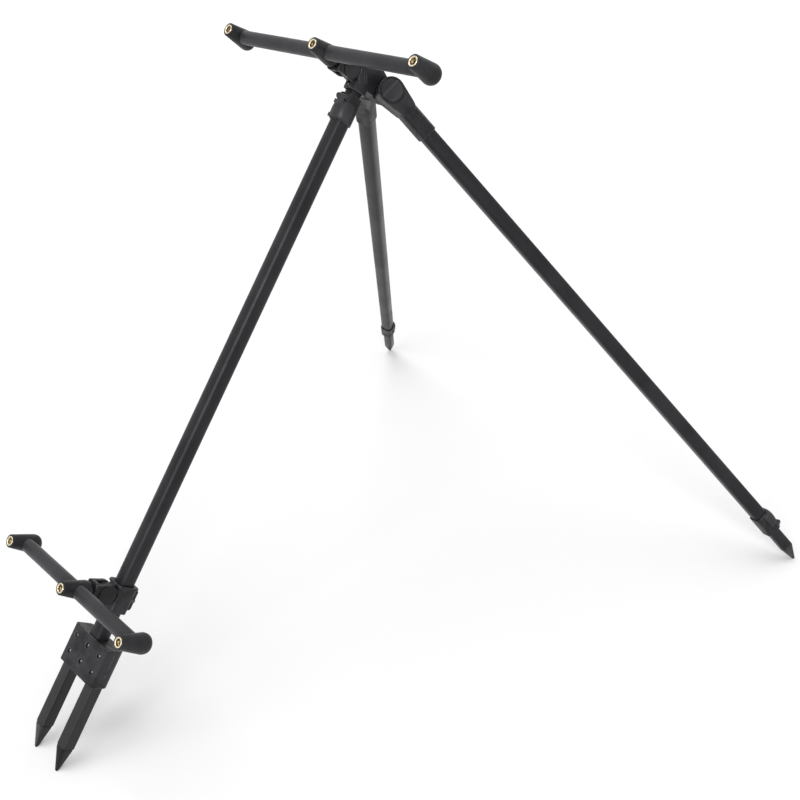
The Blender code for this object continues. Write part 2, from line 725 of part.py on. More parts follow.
def fork_half(name, sign, frame, parent, material):
    corner = FORK_BACK_CORNER if sign < 0 else FORK_FRONT_CORNER
    outline = rounded_box(2 * FORK_HALF, FORK_THICKNESS, corner, steps=FORK_CORNER_STEPS)
    half = prism(name, outline, 2, 0.0, FORK_LENGTH)
    reach = 2 * FORK_THICKNESS
    kept = sign * GAP / 2
    low, high = (-reach, kept) if sign > 0 else (kept, reach)
    rooms = [box("other half", (-2 * FORK_HALF, low, -reach), (2 * FORK_HALF, high, FORK_LENGTH + reach))]
    leg_side = TUBE_SIDE + 2 * GAP
    leg = rounded_box(leg_side, leg_side, TUBE_CORNER, (0.0, FORK_BEHIND))
    rooms.append(prism("leg room", leg, 2, -FORK_ROOF, FORK_LENGTH - FORK_ROOF))
    spike_side = INNER_SIDE + 2 * GAP
    for side in (-1, 1):
        spike = rounded_box(spike_side, spike_side, TUBE_CORNER, (side * SPIKE_SPACING, 0.0))
        rooms.append(prism("spike room", spike, 2, FORK_ROOF, FORK_LENGTH + FORK_ROOF))
    for aside, down in fork_screw_places():
        hole = circle(FORK_SCREW_RADIUS + SCREW_GAP, SMALL_STEPS, (down, aside))
        rooms.append(prism("screw room", hole, 1, -reach, reach))
        if sign > 0:
            seat = FORK_THICKNESS / 2 - FORK_SCREW_HEAD_DEPTH
            sink = circle(FORK_SCREW_HEAD + SCREW_GAP, SMALL_STEPS, (down, aside))
            rooms.append(prism("head room", sink, 1, seat, reach))
    carve(half, *rooms)
    return finish(half, frame, parent, material)


def fork_screws(frame, parent, material):
    """Each screw runs from the front half through a tube into the back half."""
    seat = FORK_THICKNESS / 2 - FORK_SCREW_HEAD_DEPTH + GAP
    reach = seat + FORK_SCREW_BITE
    profile = screw_profile(FORK_SCREW_RADIUS, FORK_SCREW_HEAD, reach, seat, FORK_SCREW_HEAD_DEPTH - GAP)
    for number, (aside, down) in enumerate(fork_screw_places(), start=1):
        screw = turned(f"fork_screw_{number}", profile, 1, SMALL_STEPS, (down, aside))
        finish(screw, frame, parent, material)


def fork_screw_rooms(places):
    rooms = []
    for aside, down in places:
        hole = circle(FORK_SCREW_RADIUS + SCREW_GAP, SMALL_STEPS, (down, aside))
        rooms.append(prism("screw room", hole, 1, -FORK_THICKNESS, FORK_THICKNESS))
    return rooms


# Legs
def front_outer_tube(frame, parent, material):
    """Drawn from the fork's roof, up to the front lock and down to the fork's floor."""
    start = FRONT_LOCK_DOWN + LOCK_MOUTH + GAP - FORK_DOWN
    leg = tube("front_outer_tube", TUBE_SIDE, start, FORK_LENGTH - FORK_ROOF - GAP)
    places = [(aside, down) for aside, down in fork_screw_places() if aside == 0.0]
    carve(leg, *fork_screw_rooms(places))
    return finish(leg, frame, parent, material)


def foot_tip(name, frame, start, lean_axis, parent, material):
    """A point that leans inward and ends flat on the ground, with a plug that fills the tube's end."""
    into = frame.inverted()
    along = frame.col[2].to_3d()
    origin = frame.translation
    spot = origin - along * (origin.z / along.z)
    middle = spot + lean_axis * FOOT_LEAN
    base = on_axis(2, square(INNER_SIDE), start + GAP)
    brow = on_axis(2, square(INNER_SIDE), start + FOOT_BROW)
    side_a = frame.col[0].to_3d()
    side_a.z = 0.0
    side_a.normalize()
    side_b = Vector((0.0, 0.0, 1.0)).cross(side_a)
    if side_b.dot(frame.col[1].to_3d()) < 0:
        side_b.negate()
    end_outline = square(2 * FOOT_END_HALF, FOOT_END_HALF / 2)
    flat = [into @ (middle + side_a * a + side_b * b) for a, b in end_outline]
    tip = loft(name, [base, brow, flat])
    plug_side = INNER_SIDE - 2 * TUBE_WALL - 2 * GAP
    plug_outline = square(plug_side, TUBE_CORNER - TUBE_WALL / 2)
    plug = prism("plug", plug_outline, 2, start - FOOT_PLUG, start + 2 * GAP)
    weld(tip, plug)
    return finish(tip, frame, parent, material)


def fork_spike(side, frame, parent, material, tip_material):
    sign = 1 if side == "right" else -1
    spike_frame = moved(frame, sign * SPIKE_SPACING)
    end = SPIKE_REACH - SPIKE_POINT
    spike = tube(f"fork_spike_{side}", INNER_SIDE, FORK_ROOF + GAP, end)
    places = [(0.0, down) for aside, down in fork_screw_places() if aside == 0.0]
    carve(spike, *fork_screw_rooms(places))
    finish(spike, spike_frame, parent, material)
    foot_tip(f"fork_tip_{side}", spike_frame, end, Vector((0.0, 1.0, 0.0)), parent, tip_material)


def sleeve_side():
    return TUBE_SIDE + 2 * GAP + 2 * SLEEVE_WALL


def knuckle(side, frame, parent, material):
    """The drum of a rear leg's hinge, flared into the sleeve that grips the outer tube."""
    cap = cap_sign(side)
    part = prism(f"{side}_knuckle", neck_outline(0.0), 0, -KNUCKLE_HALF, KNUCKLE_HALF)
    sleeve = prism("sleeve", square(sleeve_side(), TUBE_CORNER + SLEEVE_WALL), 2, SLEEVE_FLOOR, SLEEVE_END)
    weld(part, sleeve)
    tube_room = prism("tube room", square(TUBE_SIDE + 2 * GAP), 2, SLEEVE_FLOOR, 2 * SLEEVE_END)
    face = cap * KNUCKLE_HALF
    sink = face - cap * CAP_THICKNESS
    deep = sink - cap * (HINGE_BOLT_HEAD_DEPTH + GAP)
    beyond = 2 * face
    cap_room = prism("cap room", circle(CAP_RADIUS + GAP), 0, min(sink, beyond), max(sink, beyond))
    head_room = prism("head room", circle(HINGE_BOLT_HEAD + GAP), 0, min(deep, beyond), max(deep, beyond))
    shank = circle(HINGE_BOLT_RADIUS + SCREW_GAP, SMALL_STEPS)
    shank_room = prism("shank room", shank, 0, -2 * KNUCKLE_HALF, 2 * KNUCKLE_HALF)
    carve(part, tube_room, cap_room, head_room, shank_room)
    return finish(part, frame, parent, material)


def hinge_cap(side, frame, parent, material):
    cap = cap_sign(side)
    low = KNUCKLE_HALF - CAP_THICKNESS + GAP
    crown = KNUCKLE_HALF + CAP_PROUD
    profile = [
        (CAP_RADIUS, cap * low),
        (CAP_RADIUS, cap * (KNUCKLE_HALF - GAP)),
        (CAP_RADIUS - CAP_EDGE, cap * crown),
    ]
    part = turned(f"{side}_hinge_cap", profile, 0)
    return finish(part, frame, parent, material)


def hinge_bolt(side, frame, parent, material):
    cap = cap_sign(side)
    top = KNUCKLE_HALF - CAP_THICKNESS - GAP
    under = KNUCKLE_HALF - CAP_THICKNESS - HINGE_BOLT_HEAD_DEPTH
    profile = [
        (HINGE_BOLT_RADIUS, -cap * hinge_bolt_reach()),
        (HINGE_BOLT_RADIUS, cap * under),
        (HINGE_BOLT_HEAD, cap * under),
        (HINGE_BOLT_HEAD, cap * top),
    ]
    part = turned(f"{side}_hinge_bolt", profile, 0, SMALL_STEPS)
    return finish(part, frame, parent, material)


def rear_leg(side, head, materials):
    plastic, paint, steel, tip_material = materials
    frame = rear_frame(side)
    hinge_bolt(side, frame, head, steel)
    hinge = joint_empty(f"{side}_hinge", frame, head)
    knuckle(side, frame, hinge, plastic)
    hinge_cap(side, frame, hinge, plastic)
    outer_tube = tube(f"{side}_outer_tube", TUBE_SIDE, SLEEVE_FLOOR + GAP, REAR_OUTER_LENGTH)
    finish(outer_tube, frame, hinge, paint)
    mouth = REAR_OUTER_LENGTH + GAP + LOCK_MOUTH
    lock_frame = frame_at(moved(frame, along=mouth).translation, -frame.col[2].to_3d(), frame.col[1].to_3d())
    cam_lock(side, lock_frame, hinge, plastic, steel)
    slide = joint_empty(f"{side}_slide", moved(frame, along=mouth), hinge)
    ground = -frame.translation.z / frame.col[2].z
    end = ground - FOOT_POINT
    finish(tube(f"{side}_inner_tube", INNER_SIDE, REAR_INNER_START, end), frame, slide, paint)
    inward = -Vector((frame.col[2].x, frame.col[2].y, 0.0)).normalized()
    foot_tip(f"{side}_foot_tip", frame, end, inward, slide, tip_material)


def stand_on_origin(root):
    """Moves the tripod so that the middle of its footprint's box lies on the origin."""
    bpy.context.view_layer.update()
    low = Vector((math.inf,) * 3)
    high = Vector((-math.inf,) * 3)
    for solid in bpy.data.objects:
        if solid.type != "MESH":
            continue
        for vertex in solid.data.vertices:
            place = solid.matrix_world @ vertex.co
            low = Vector(map(min, low, place))
            high = Vector(map(max, high, place))
    root.location = Vector((-(low.x + high.x) / 2, -(low.y + high.y) / 2, -low.z))
    bpy.context.view_layer.update()


def build():
    for old in list(bpy.data.objects):
        bpy.data.objects.remove(old)
    plastic = plastic_material("charcoal plastic", (0.042, 0.043, 0.046), 0.55)
    point = plastic_material("black plastic points", (0.030, 0.030, 0.033), 0.60)
    paint = plastic_material("satin graphite tube", (0.060, 0.060, 0.064), 0.40)
    brass = metal_material("turned brass", (0.78, 0.62, 0.36), 0.28)
    steel = metal_material("bright steel", (0.62, 0.62, 0.63), 0.30)
    root = joint_empty("tripod", Matrix.Identity(4))
    head = joint_empty("head", FRONT_FRAME, root)
    head_body(head, plastic)
    front_inner_tube(head, paint)
    head_leg_screw(head, steel)
    tilt_pin("top_tilt_pin", TOP_PIVOT_HEIGHT, TOP_PIVOT_DOWN, FRONT_FRAME, head, steel)
    top_place = moved(FRONT_FRAME, 0.0, TOP_PIVOT_HEIGHT, TOP_PIVOT_DOWN)
    top_pivot = joint_empty("top_pivot", tilted(top_place, TOP_BAR_TILT), head)
    bar_set("top", TOP_BAR_SPACING, top_pivot, (plastic, paint, brass))
    slide = joint_empty("front_slide", moved(FRONT_FRAME, along=FRONT_LOCK_DOWN), head)
    fork_frame = moved(FRONT_FRAME, 0.0, -FORK_BEHIND, FORK_DOWN)
    front_outer_tube(moved(FRONT_FRAME, along=FORK_DOWN), slide, paint)
    cam_lock("front", slide.matrix_world.copy(), slide, plastic, steel)
    fork_half("fork_front", 1, fork_frame, slide, plastic)
    fork_half("fork_back", -1, fork_frame, slide, plastic)
    fork_screws(fork_frame, slide, steel)
    for side in ("left", "right"):
        fork_spike(side, fork_frame, slide, paint, point)
    clamp = joint_empty("butt_slide", moved(FRONT_FRAME, along=BUTT_CLAMP_DOWN), slide)
    clamp_frame = clamp.matrix_world.copy()
    butt_clamp(clamp_frame, clamp, plastic)
    pinch_bolt(clamp_frame, clamp, steel)
    tilt_pin("butt_tilt_pin", BUTT_PIVOT_HEIGHT, -BUTT_TONGUE_UP, clamp_frame, clamp, steel)
    butt_place = moved(clamp_frame, 0.0, BUTT_PIVOT_HEIGHT, -BUTT_TONGUE_UP)
    butt_pivot = joint_empty("butt_pivot", tilted(butt_place, BUTT_BAR_TILT), clamp)
    bar_set("butt", BUTT_BAR_SPACING, butt_pivot, (plastic, paint, brass))
    for side in ("left", "right"):
        rear_leg(side, head, (plastic, paint, steel, point))
    stand_on_origin(root)


build()
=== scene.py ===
# Looks for a folding rod tripod: three square legs, two tilting cross bars, cam locks, a forked foot
import json
import math

import bmesh
import bpy
from mathutils import Matrix, Vector


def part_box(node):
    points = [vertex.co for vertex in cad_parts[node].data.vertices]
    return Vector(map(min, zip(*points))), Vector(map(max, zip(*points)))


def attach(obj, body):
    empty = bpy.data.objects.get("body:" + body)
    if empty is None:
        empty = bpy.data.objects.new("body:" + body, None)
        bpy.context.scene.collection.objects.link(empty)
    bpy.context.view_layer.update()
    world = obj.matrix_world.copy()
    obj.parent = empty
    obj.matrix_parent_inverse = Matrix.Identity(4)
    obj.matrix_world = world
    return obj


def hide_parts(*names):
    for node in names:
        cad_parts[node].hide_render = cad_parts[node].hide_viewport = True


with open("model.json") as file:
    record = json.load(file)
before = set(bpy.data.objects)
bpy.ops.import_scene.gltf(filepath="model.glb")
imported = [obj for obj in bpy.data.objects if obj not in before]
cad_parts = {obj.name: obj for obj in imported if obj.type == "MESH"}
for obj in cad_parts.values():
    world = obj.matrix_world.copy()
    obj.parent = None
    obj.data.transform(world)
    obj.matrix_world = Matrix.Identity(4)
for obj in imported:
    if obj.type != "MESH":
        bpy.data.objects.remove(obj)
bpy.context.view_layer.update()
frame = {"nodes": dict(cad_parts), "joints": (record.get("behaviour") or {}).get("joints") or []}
nodes = frame["nodes"]
joints = {joint["name"]: joint for joint in frame["joints"]}
print("frame loaded:", len(nodes), "nodes")


# A place is a matrix whose columns run to the side, outward and along the piece
def placeAt(origin, along, outward):
    along = Vector(along).normalized()
    side = Vector(outward).cross(along).normalized()
    turning = Matrix((side, along.cross(side), along)).transposed().to_4x4()
    return Matrix.Translation(Vector(origin)) @ turning


def shifted(place, side=0.0, outward=0.0, along=0.0):
    return place @ Matrix.Translation((side, outward, along))


def centred(place, low, high):  # moved to the middle of a box, seen along the third axis
    return shifted(place, (low.x + high.x) / 2, (low.y + high.y) / 2)


def turned(place, degrees, axis):
    return place @ Matrix.Rotation(math.radians(degrees), 4, axis)


def barPlaceOf(jointName, barName):  # leans with its bar: outward runs from the tilt pin to the bar
    pivot = Vector(joints[jointName]["pos_m"])
    low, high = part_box(barName)
    reach = (Vector(low) + Vector(high)) / 2 - pivot
    reach.x = 0.0
    return placeAt(pivot, Vector((1.0, 0.0, 0.0)).cross(reach), reach)


legDown = Vector(joints["front_extension"]["axis"])
legOutward = legDown.cross(Vector((1.0, 0.0, 0.0)))
headPlace = placeAt(joints["top_bar_tilt"]["pos_m"], legDown, legOutward)
clampPlace = placeAt(joints["butt_bar_tilt"]["pos_m"], legDown, legOutward)
barPlace = {"top": barPlaceOf("top_bar_tilt", "top_bar"), "butt": barPlaceOf("butt_bar_tilt", "butt_bar")}
legPlace = {}
leverPlace = {"front": placeAt(joints["front_lever_swing"]["pos_m"], legDown, legOutward)}
for side in ("right", "left"):
    hinge = joints[side + "_leg_fold"]
    along = Vector(joints[side + "_extension"]["axis"])
    legPlace[side] = placeAt(hinge["pos_m"], along, along.cross(Vector(hinge["axis"])))
    leverPlace[side] = placeAt(joints[side + "_lever_swing"]["pos_m"], -along, legPlace[side].col[1].to_3d())


def localBox(nodeName, place):
    back = place.inverted()
    spots = [back @ vertex.co for vertex in nodes[nodeName].data.vertices]
    low = Vector([min(spot[k] for spot in spots) for k in range(3)])
    high = Vector([max(spot[k] for spot in spots) for k in range(3)])
    return low, high


def inScene(name, data):
    item = bpy.data.objects.new(name, data)
    bpy.context.scene.collection.objects.link(item)
    return item


# Shader groups that several finishes share
def feed(tree, socket, value):
    if isinstance(value, bpy.types.NodeSocket):
        tree.links.new(value, socket)
    else:
        socket.default_value = value


def addNode(tree, kind, settings=None, **sockets):
    node = tree.nodes.new(kind)
    for key, value in (settings or {}).items():
        setattr(node, key, value)
    for key, value in sockets.items():
        feed(tree, node.inputs[key.replace("_", " ")], value)
    return node


def newGroup(name, inputs, outputs):
    tree = bpy.data.node_groups.new(name, "ShaderNodeTree")
    for label, value in inputs.items():
        socket = tree.interface.new_socket(label, in_out="INPUT", socket_type="NodeSocketFloat")
        socket.default_value = value
    for label in outputs:
        tree.interface.new_socket(label, in_out="OUTPUT", socket_type="NodeSocketFloat")
    enter, leave = (tree.nodes.new("NodeGroup" + way) for way in ("Input", "Output"))
    return tree, enter.outputs, leave.inputs


def mathNode(tree, operation, first, second=0.0):
    node = addNode(tree, "ShaderNodeMath", {"operation": operation})
    for socket, value in zip(node.inputs, (first, second)):
        feed(tree, socket, value)
    return node.outputs[0]


def times(tree, first, second):
    return mathNode(tree, "MULTIPLY", first, second)


def objectCoords(tree):
    return tree.nodes.new("ShaderNodeTexCoord").outputs["Object"]


def pieceCoords(tree):  # a piece's own side, outward and along, stored on its points
    return addNode(tree, "ShaderNodeAttribute", {"attribute_name": "ownSpace"}).outputs["Vector"]


def makeGrainGroup():  # fine moulded or sprayed grain, as a height
    tree, enter, leave = newGroup("fineGrain", {"Scale": 1500.0, "Pits": 0.4}, ["Height"])
    coords = objectCoords(tree)
    soft = addNode(tree, "ShaderNodeTexNoise", Vector=coords, Scale=enter["Scale"], Detail=2.0)
    cells = addNode(tree, "ShaderNodeTexVoronoi", {"feature": "SMOOTH_F1"}, Vector=coords,
                    Scale=enter["Scale"])
    pits = times(tree, cells.outputs["Distance"], enter["Pits"])
    height = mathNode(tree, "ADD", soft.outputs["Fac"], pits)
    tree.links.new(height, leave["Height"])
    return tree


def makePatchGroup():  # slow variation over a piece, from handling and storage
    tree, enter, leave = newGroup("handling", {"Scale": 30.0, "Low": 0.35, "High": 0.65}, ["Mask"])
    cloud = addNode(tree, "ShaderNodeTexNoise", Vector=objectCoords(tree), Scale=enter["Scale"],
                    Detail=5.0, Roughness=0.6)
    spread = addNode(tree, "ShaderNodeMapRange", {"interpolation_type": "SMOOTHSTEP"},
                     Value=cloud.outputs["Fac"], From_Min=enter["Low"],
                     From_Max=enter["High"])
    tree.links.new(spread.outputs["Result"], leave["Mask"])
    return tree


def makeScuffGroup():  # rubbed edges: the bevelled faces carry edgeWear
    tree, enter, leave = newGroup("rubbedEdge", {"Scale": 120.0, "Amount": 0.5}, ["Mask"])
    edge = addNode(tree, "ShaderNodeAttribute", {"attribute_name": "edgeWear"})
    worn = addNode(tree, "ShaderNodeTexNoise", Vector=objectCoords(tree), Scale=enter["Scale"],
                   Detail=4.0)
    patchy = addNode(tree, "ShaderNodeMapRange", Value=worn.outputs["Fac"], From_Min=0.36, From_Max=0.64)
    both = times(tree, edge.outputs["Fac"], patchy.outputs["Result"])
    tree.links.new(times(tree, both, enter["Amount"]), leave["Mask"])
    return tree


def makeLinesAndStreaksGroup():  # long faint lines along a drawn tube or a turned piece, and the painted highlight streaks on the hinge caps
    tree, enter, leave = newGroup("drawnLinesAndHighlightStreaks", {"Across": 900.0, "Aside": 900.0, "Along": 4.0}, ["Height"])
    size = addNode(tree, "ShaderNodeCombineXYZ", X=enter["Across"], Y=enter["Aside"],
                   Z=enter["Along"])
    drawn = addNode(tree, "ShaderNodeVectorMath", {"operation": "MULTIPLY"})
    tree.links.new(pieceCoords(tree), drawn.inputs[0])
    tree.links.new(size.outputs[0], drawn.inputs[1])
    lines = addNode(tree, "ShaderNodeTexNoise", Vector=drawn.outputs[0], Scale=1.0, Detail=2.0)
    tree.links.new(lines.outputs["Fac"], leave["Height"])
    return tree


def makeScratchGroup():  # sparse thin scratches in two crossing directions, from tackle and stones
    tree, enter, leave = newGroup("fineScratches", {"Scale": 60.0, "Amount": 0.4}, ["Mask"])
    coords = objectCoords(tree)
    masks = []
    for turn in ((0.5, 0.2, 0.9), (-0.7, 1.1, 0.3)):
        laid = addNode(tree, "ShaderNodeMapping", Vector=coords, Rotation=turn, Scale=(1.0, 14.0, 1.0))
        field = addNode(tree, "ShaderNodeTexNoise", Vector=laid.outputs["Vector"],
                        Scale=enter["Scale"], Detail=3.0, Distortion=0.4)
        thin = addNode(tree, "ShaderNodeMapRange", Value=field.outputs["Fac"], From_Min=0.66, From_Max=0.72)
        masks.append(thin.outputs["Result"])
    both = mathNode(tree, "MAXIMUM", *masks)
    tree.links.new(times(tree, both, enter["Amount"]), leave["Mask"])
    return tree


def makeSwellGroup():  # a drawn tube's faces bulge a little, so light runs across them: a height in metres
    tree, enter, leave = newGroup("swollenFaces", {"Radius": 0.030}, ["Height"])
    spot = addNode(tree, "ShaderNodeSeparateXYZ", Vector=pieceCoords(tree))
    squares = [times(tree, spot.outputs[axis], spot.outputs[axis]) for axis in "XY"]
    fall = mathNode(tree, "DIVIDE", mathNode(tree, "ADD", *squares), enter["Radius"])
    tree.links.new(times(tree, fall, -0.5), leave["Height"])
    return tree


grainGroup = makeGrainGroup()
patchGroup = makePatchGroup()
scuffGroup = makeScuffGroup()
linesAndStreaksGroup = makeLinesAndStreaksGroup()
scratchGroup = makeScratchGroup()
swellGroup = makeSwellGroup()


def useGroup(tree, group, **values):
    return addNode(tree, "ShaderNodeGroup", {"node_tree": group}, **values).outputs[0]


def mixColor(tree, mask, low, high):
    node = addNode(tree, "ShaderNodeMix", {"data_type": "RGBA"})
    tree.links.new(mask, node.inputs["Factor"])
    for label, value in (("A", low), ("B", high)):
        feed(tree, node.inputs[label], (*value, 1.0) if isinstance(value, tuple) else value)
    return node.outputs["Result"]


def spreadTo(tree, value, low, high):
    return addNode(tree, "ShaderNodeMapRange", Value=value, To_Min=low, To_Max=high).outputs["Result"]


# Finishes: colours of dark and light patches and of rubbed edges, roughness of light and dark patches
plasticLooks = {
    "mouldedPlastic": {
        "dark": (0.009, 0.0092, 0.0104), "light": (0.025, 0.0253, 0.0278), "rub": (0.13, 0.13, 0.14),
        "rough": (0.34, 0.52), "grain": 1100.0, "depth": 0.00017, "rubbed": 0.60, "gloss": 0.19},
    "leverPlastic": {
        "dark": (0.019, 0.0193, 0.0215), "light": (0.040, 0.0405, 0.044), "rub": (0.09, 0.09, 0.095),
        "rough": (0.30, 0.44), "grain": 1300.0, "depth": 0.00007, "rubbed": 0.40, "gloss": 0.22},
    "holderPlastic": {
        "dark": (0.009, 0.0092, 0.0104), "light": (0.019, 0.0192, 0.0212), "rub": (0.06, 0.06, 0.065),
        "rough": (0.34, 0.50), "grain": 900.0, "depth": 0.00019, "rubbed": 0.40, "gloss": 0.20},
    "footPlastic": {
        "dark": (0.010, 0.010, 0.011), "light": (0.022, 0.022, 0.024), "rub": (0.11, 0.11, 0.11),
        "rough": (0.42, 0.58), "grain": 800.0, "depth": 0.00012, "rubbed": 0.70, "gloss": 0.20},
    # painted shade, for the dark groove and outer wall of the hinge caps
    "seamShadePlastic": {
        "dark": (0.003, 0.003, 0.0034), "light": (0.007, 0.007, 0.0078), "rub": (0.03, 0.03, 0.032),
        "rough": (0.60, 0.75), "grain": 900.0, "depth": 0.00012, "rubbed": 0.20, "gloss": 0.05},
}
# the hinge caps' dark and light colours form a painted highlight in slanting streaks
capLook = {
    "dark": (0.010, 0.0101, 0.0122), "light": (0.038, 0.0383, 0.0430), "rub": (0.10, 0.10, 0.105),
    "rough": (0.30, 0.46), "grain": 1300.0, "depth": 0.00006, "rubbed": 0.5, "gloss": 0.22}
tubeLooks = {
    "tubePaint": {
        "dark": (0.010, 0.0101, 0.0120), "light": (0.017, 0.0172, 0.0198), "rub": (0.14, 0.14, 0.15),
        "rough": (0.27, 0.36), "grain": 1800.0, "lines": 0.00007, "rubbed": 0.55, "gloss": 0.17,
        "swell": 0.030},
    "spikePaint": {
        "dark": (0.004, 0.0041, 0.0048), "light": (0.008, 0.0081, 0.0092), "rub": (0.12, 0.12, 0.13),
        "rough": (0.42, 0.52), "grain": 1500.0, "lines": 0.00004, "rubbed": 0.60, "gloss": 0.38,
        "swell": 0.0},
    "barPaint": {
        "dark": (0.021, 0.0212, 0.0238), "light": (0.031, 0.0312, 0.0348), "rub": (0.14, 0.14, 0.15),
        "rough": (0.32, 0.44), "grain": 1800.0, "lines": 0.00004, "rubbed": 0.30, "gloss": 0.20,
        "swell": 0.0},
}
metalLooks = {
    "turnedBrass": {
        "dark": (0.62, 0.52, 0.34), "light": (0.90, 0.82, 0.64), "rough": (0.16, 0.28), "lines": 0.00002},
    # cut brass painted dark as shade, for the wall and threads inside the inserts' bore
    "cutShadedBrass": {
        "dark": (0.13, 0.09, 0.04), "light": (0.40, 0.29, 0.15), "rough": (0.30, 0.44), "lines": 0.00002},
    "platedSteel": {
        "dark": (0.15, 0.15, 0.16), "light": (0.32, 0.32, 0.34), "rough": (0.16, 0.30), "lines": 0.00002},
    "darkSteel": {
        "dark": (0.05, 0.05, 0.055), "light": (0.11, 0.11, 0.12), "rough": (0.34, 0.48), "lines": 0.00003},
}
patternValues = {  # sizes as counts per metre, and how strongly each pattern shows
    "plastic": {"patch": 38.0, "rubbing": 160.0, "scratch": 70.0, "scratched": 0.16, "pits": 0.5},
    # sizes and strength of the painted highlight streaks on the hinge caps
    "cap": {"across": 10.0, "aside": 330.0, "along": 30.0, "faint": 0.38, "strong": 0.62,
            "rubbing": 160.0, "scratch": 80.0, "scratched": 0.2, "pits": 0.4},
    "tube": {"patch": 14.0, "rubbing": 60.0, "scratch": 90.0, "scratched": 0.07, "pits": 0.3,
             "across": 1100.0, "aside": 1100.0, "along": 5.0, "grainShare": 0.5},
    "metal": {"patch": 260.0, "across": 2600.0, "aside": 2600.0, "along": 700.0},
    "scratchedRough": 0.25,
}


def startMaterial(name):
    material = bpy.data.materials.new(name)
    material.use_nodes = True
    tree = material.node_tree
    return material, tree, tree.nodes["Principled BSDF"]


def setBump(tree, shader, height, distance, under=None):
    bump = addNode(tree, "ShaderNodeBump", Height=height, Distance=distance, Strength=1.0)
    if under:
        tree.links.new(under, bump.inputs["Normal"])
    tree.links.new(bump.outputs["Normal"], shader.inputs["Normal"])


def setSurface(tree, shader, patch, look, values):
    rubbed = useGroup(tree, scuffGroup, Scale=values["rubbing"], Amount=look["rubbed"])
    scratched = useGroup(tree, scratchGroup, Scale=values["scratch"], Amount=values["scratched"])
    body = mixColor(tree, patch, look["dark"], look["light"])
    worn = mixColor(tree, rubbed, body, look["rub"])
    tree.links.new(mixColor(tree, scratched, worn, look["rub"]), shader.inputs["Base Color"])
    sheen = spreadTo(tree, patch, look["rough"][1], look["rough"][0])
    torn = times(tree, scratched, patternValues["scratchedRough"])
    tree.links.new(mathNode(tree, "ADD", sheen, torn), shader.inputs["Roughness"])
    shader.inputs["Specular IOR Level"].default_value = look["gloss"]


def drawnLinesAndHighlightStreaks(tree, values):
    return useGroup(tree, linesAndStreaksGroup, Across=values["across"], Aside=values["aside"], Along=values["along"])


def makePlastic(name, look, kind="plastic"):  # on the hinge caps, a painted highlight runs in soft slanting streaks of light and dark colour
    material, tree, shader = startMaterial(name)
    values = patternValues[kind]
    if kind == "cap":
        mask = addNode(tree, "ShaderNodeMapRange", Value=drawnLinesAndHighlightStreaks(tree, values),
                       From_Min=values["faint"], From_Max=values["strong"]).outputs["Result"]
    else:
        mask = useGroup(tree, patchGroup, Scale=values["patch"])
    setSurface(tree, shader, mask, look, values)
    grain = useGroup(tree, grainGroup, Scale=look["grain"], Pits=values["pits"])
    setBump(tree, shader, grain, look["depth"])
    return material


def makeTube(name, look):
    material, tree, shader = startMaterial(name)
    values = patternValues["tube"]
    patch = useGroup(tree, patchGroup, Scale=values["patch"])
    setSurface(tree, shader, patch, look, values)
    lines = drawnLinesAndHighlightStreaks(tree, values)
    grain = useGroup(tree, grainGroup, Scale=look["grain"], Pits=values["pits"])
    under = None
    if look["swell"]:
        swollen = useGroup(tree, swellGroup, Radius=look["swell"])
        under = addNode(tree, "ShaderNodeBump", Height=swollen, Distance=1.0, Strength=1.0).outputs["Normal"]
    fine = mathNode(tree, "ADD", lines, times(tree, grain, values["grainShare"]))
    setBump(tree, shader, fine, look["lines"], under)
    return material


def makeMetal(name, look):
    material, tree, shader = startMaterial(name)
    values = patternValues["metal"]
    shader.inputs["Metallic"].default_value = 1.0
    patch = useGroup(tree, patchGroup, Scale=values["patch"])
    lines = drawnLinesAndHighlightStreaks(tree, values)
    tree.links.new(mixColor(tree, patch, look["dark"], look["light"]), shader.inputs["Base Color"])
    tree.links.new(spreadTo(tree, patch, look["rough"][1], look["rough"][0]), shader.inputs["Roughness"])
    setBump(tree, shader, lines, look["lines"])
    return material


finishes = {name: makePlastic(name, look) for name, look in plasticLooks.items()}
finishes.update({name: makeTube(name, look) for name, look in tubeLooks.items()})
finishes.update({name: makeMetal(name, look) for name, look in metalLooks.items()})
finishes["capPlastic"] = makePlastic("capPlastic", capLook, "cap")
print("finishes made:", len(finishes))


# Pieces in mesh code
def storeOwnSpace(mesh, place):
    back = place.inverted()
    layer = mesh.attributes.new("ownSpace", "FLOAT_VECTOR", "POINT")
    flat = []
    for vertex in mesh.vertices:
        flat.extend(back @ vertex.co)
    layer.data.foreach_set("vector", flat)


def meshOf(shape, name):
    mesh = bpy.data.meshes.new(name)
    shape.to_mesh(mesh)
    shape.free()
    return mesh


def showPiece(name, mesh, body, place, replaced=(), finish=None, smoothAngle=38.0):
    if finish:
        mesh.materials.clear()
        mesh.materials.append(finishes[finish])
        mesh.polygons.foreach_set("material_index", [0] * len(mesh.polygons))
    storeOwnSpace(mesh, place)
    mesh.shade_smooth()
    mesh.set_sharp_from_angle(angle=math.radians(smoothAngle))
    piece = inScene(name, mesh)
    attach(piece, body)
    if replaced:
        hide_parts(*replaced)
    return piece


def twoTone(mesh, place, firstFinish, secondFinish, isSecond):  # split by distance from the third axis
    for finish in (firstFinish, secondFinish):
        mesh.materials.append(finishes[finish])
    back = place.inverted()
    for face in mesh.polygons:
        face.material_index = int(isSecond((back @ face.center).to_2d().length))


edgeValues = {"merge": 0.00002, "flat": 0.8, "sharp": 30.0, "smooth": 42.0, "shares": (1.0, 0.6, 0.35, 0.0),
              "leastVolume": 0.965, "mostVolume": 1.0005, "head": 0.0009, "knuckle": 0.0008,
              "block": 0.0007, "collar": 0.0006, "tip": 0.0005, "metal": 0.0002, "steps": 2, "blockSteps": 3}


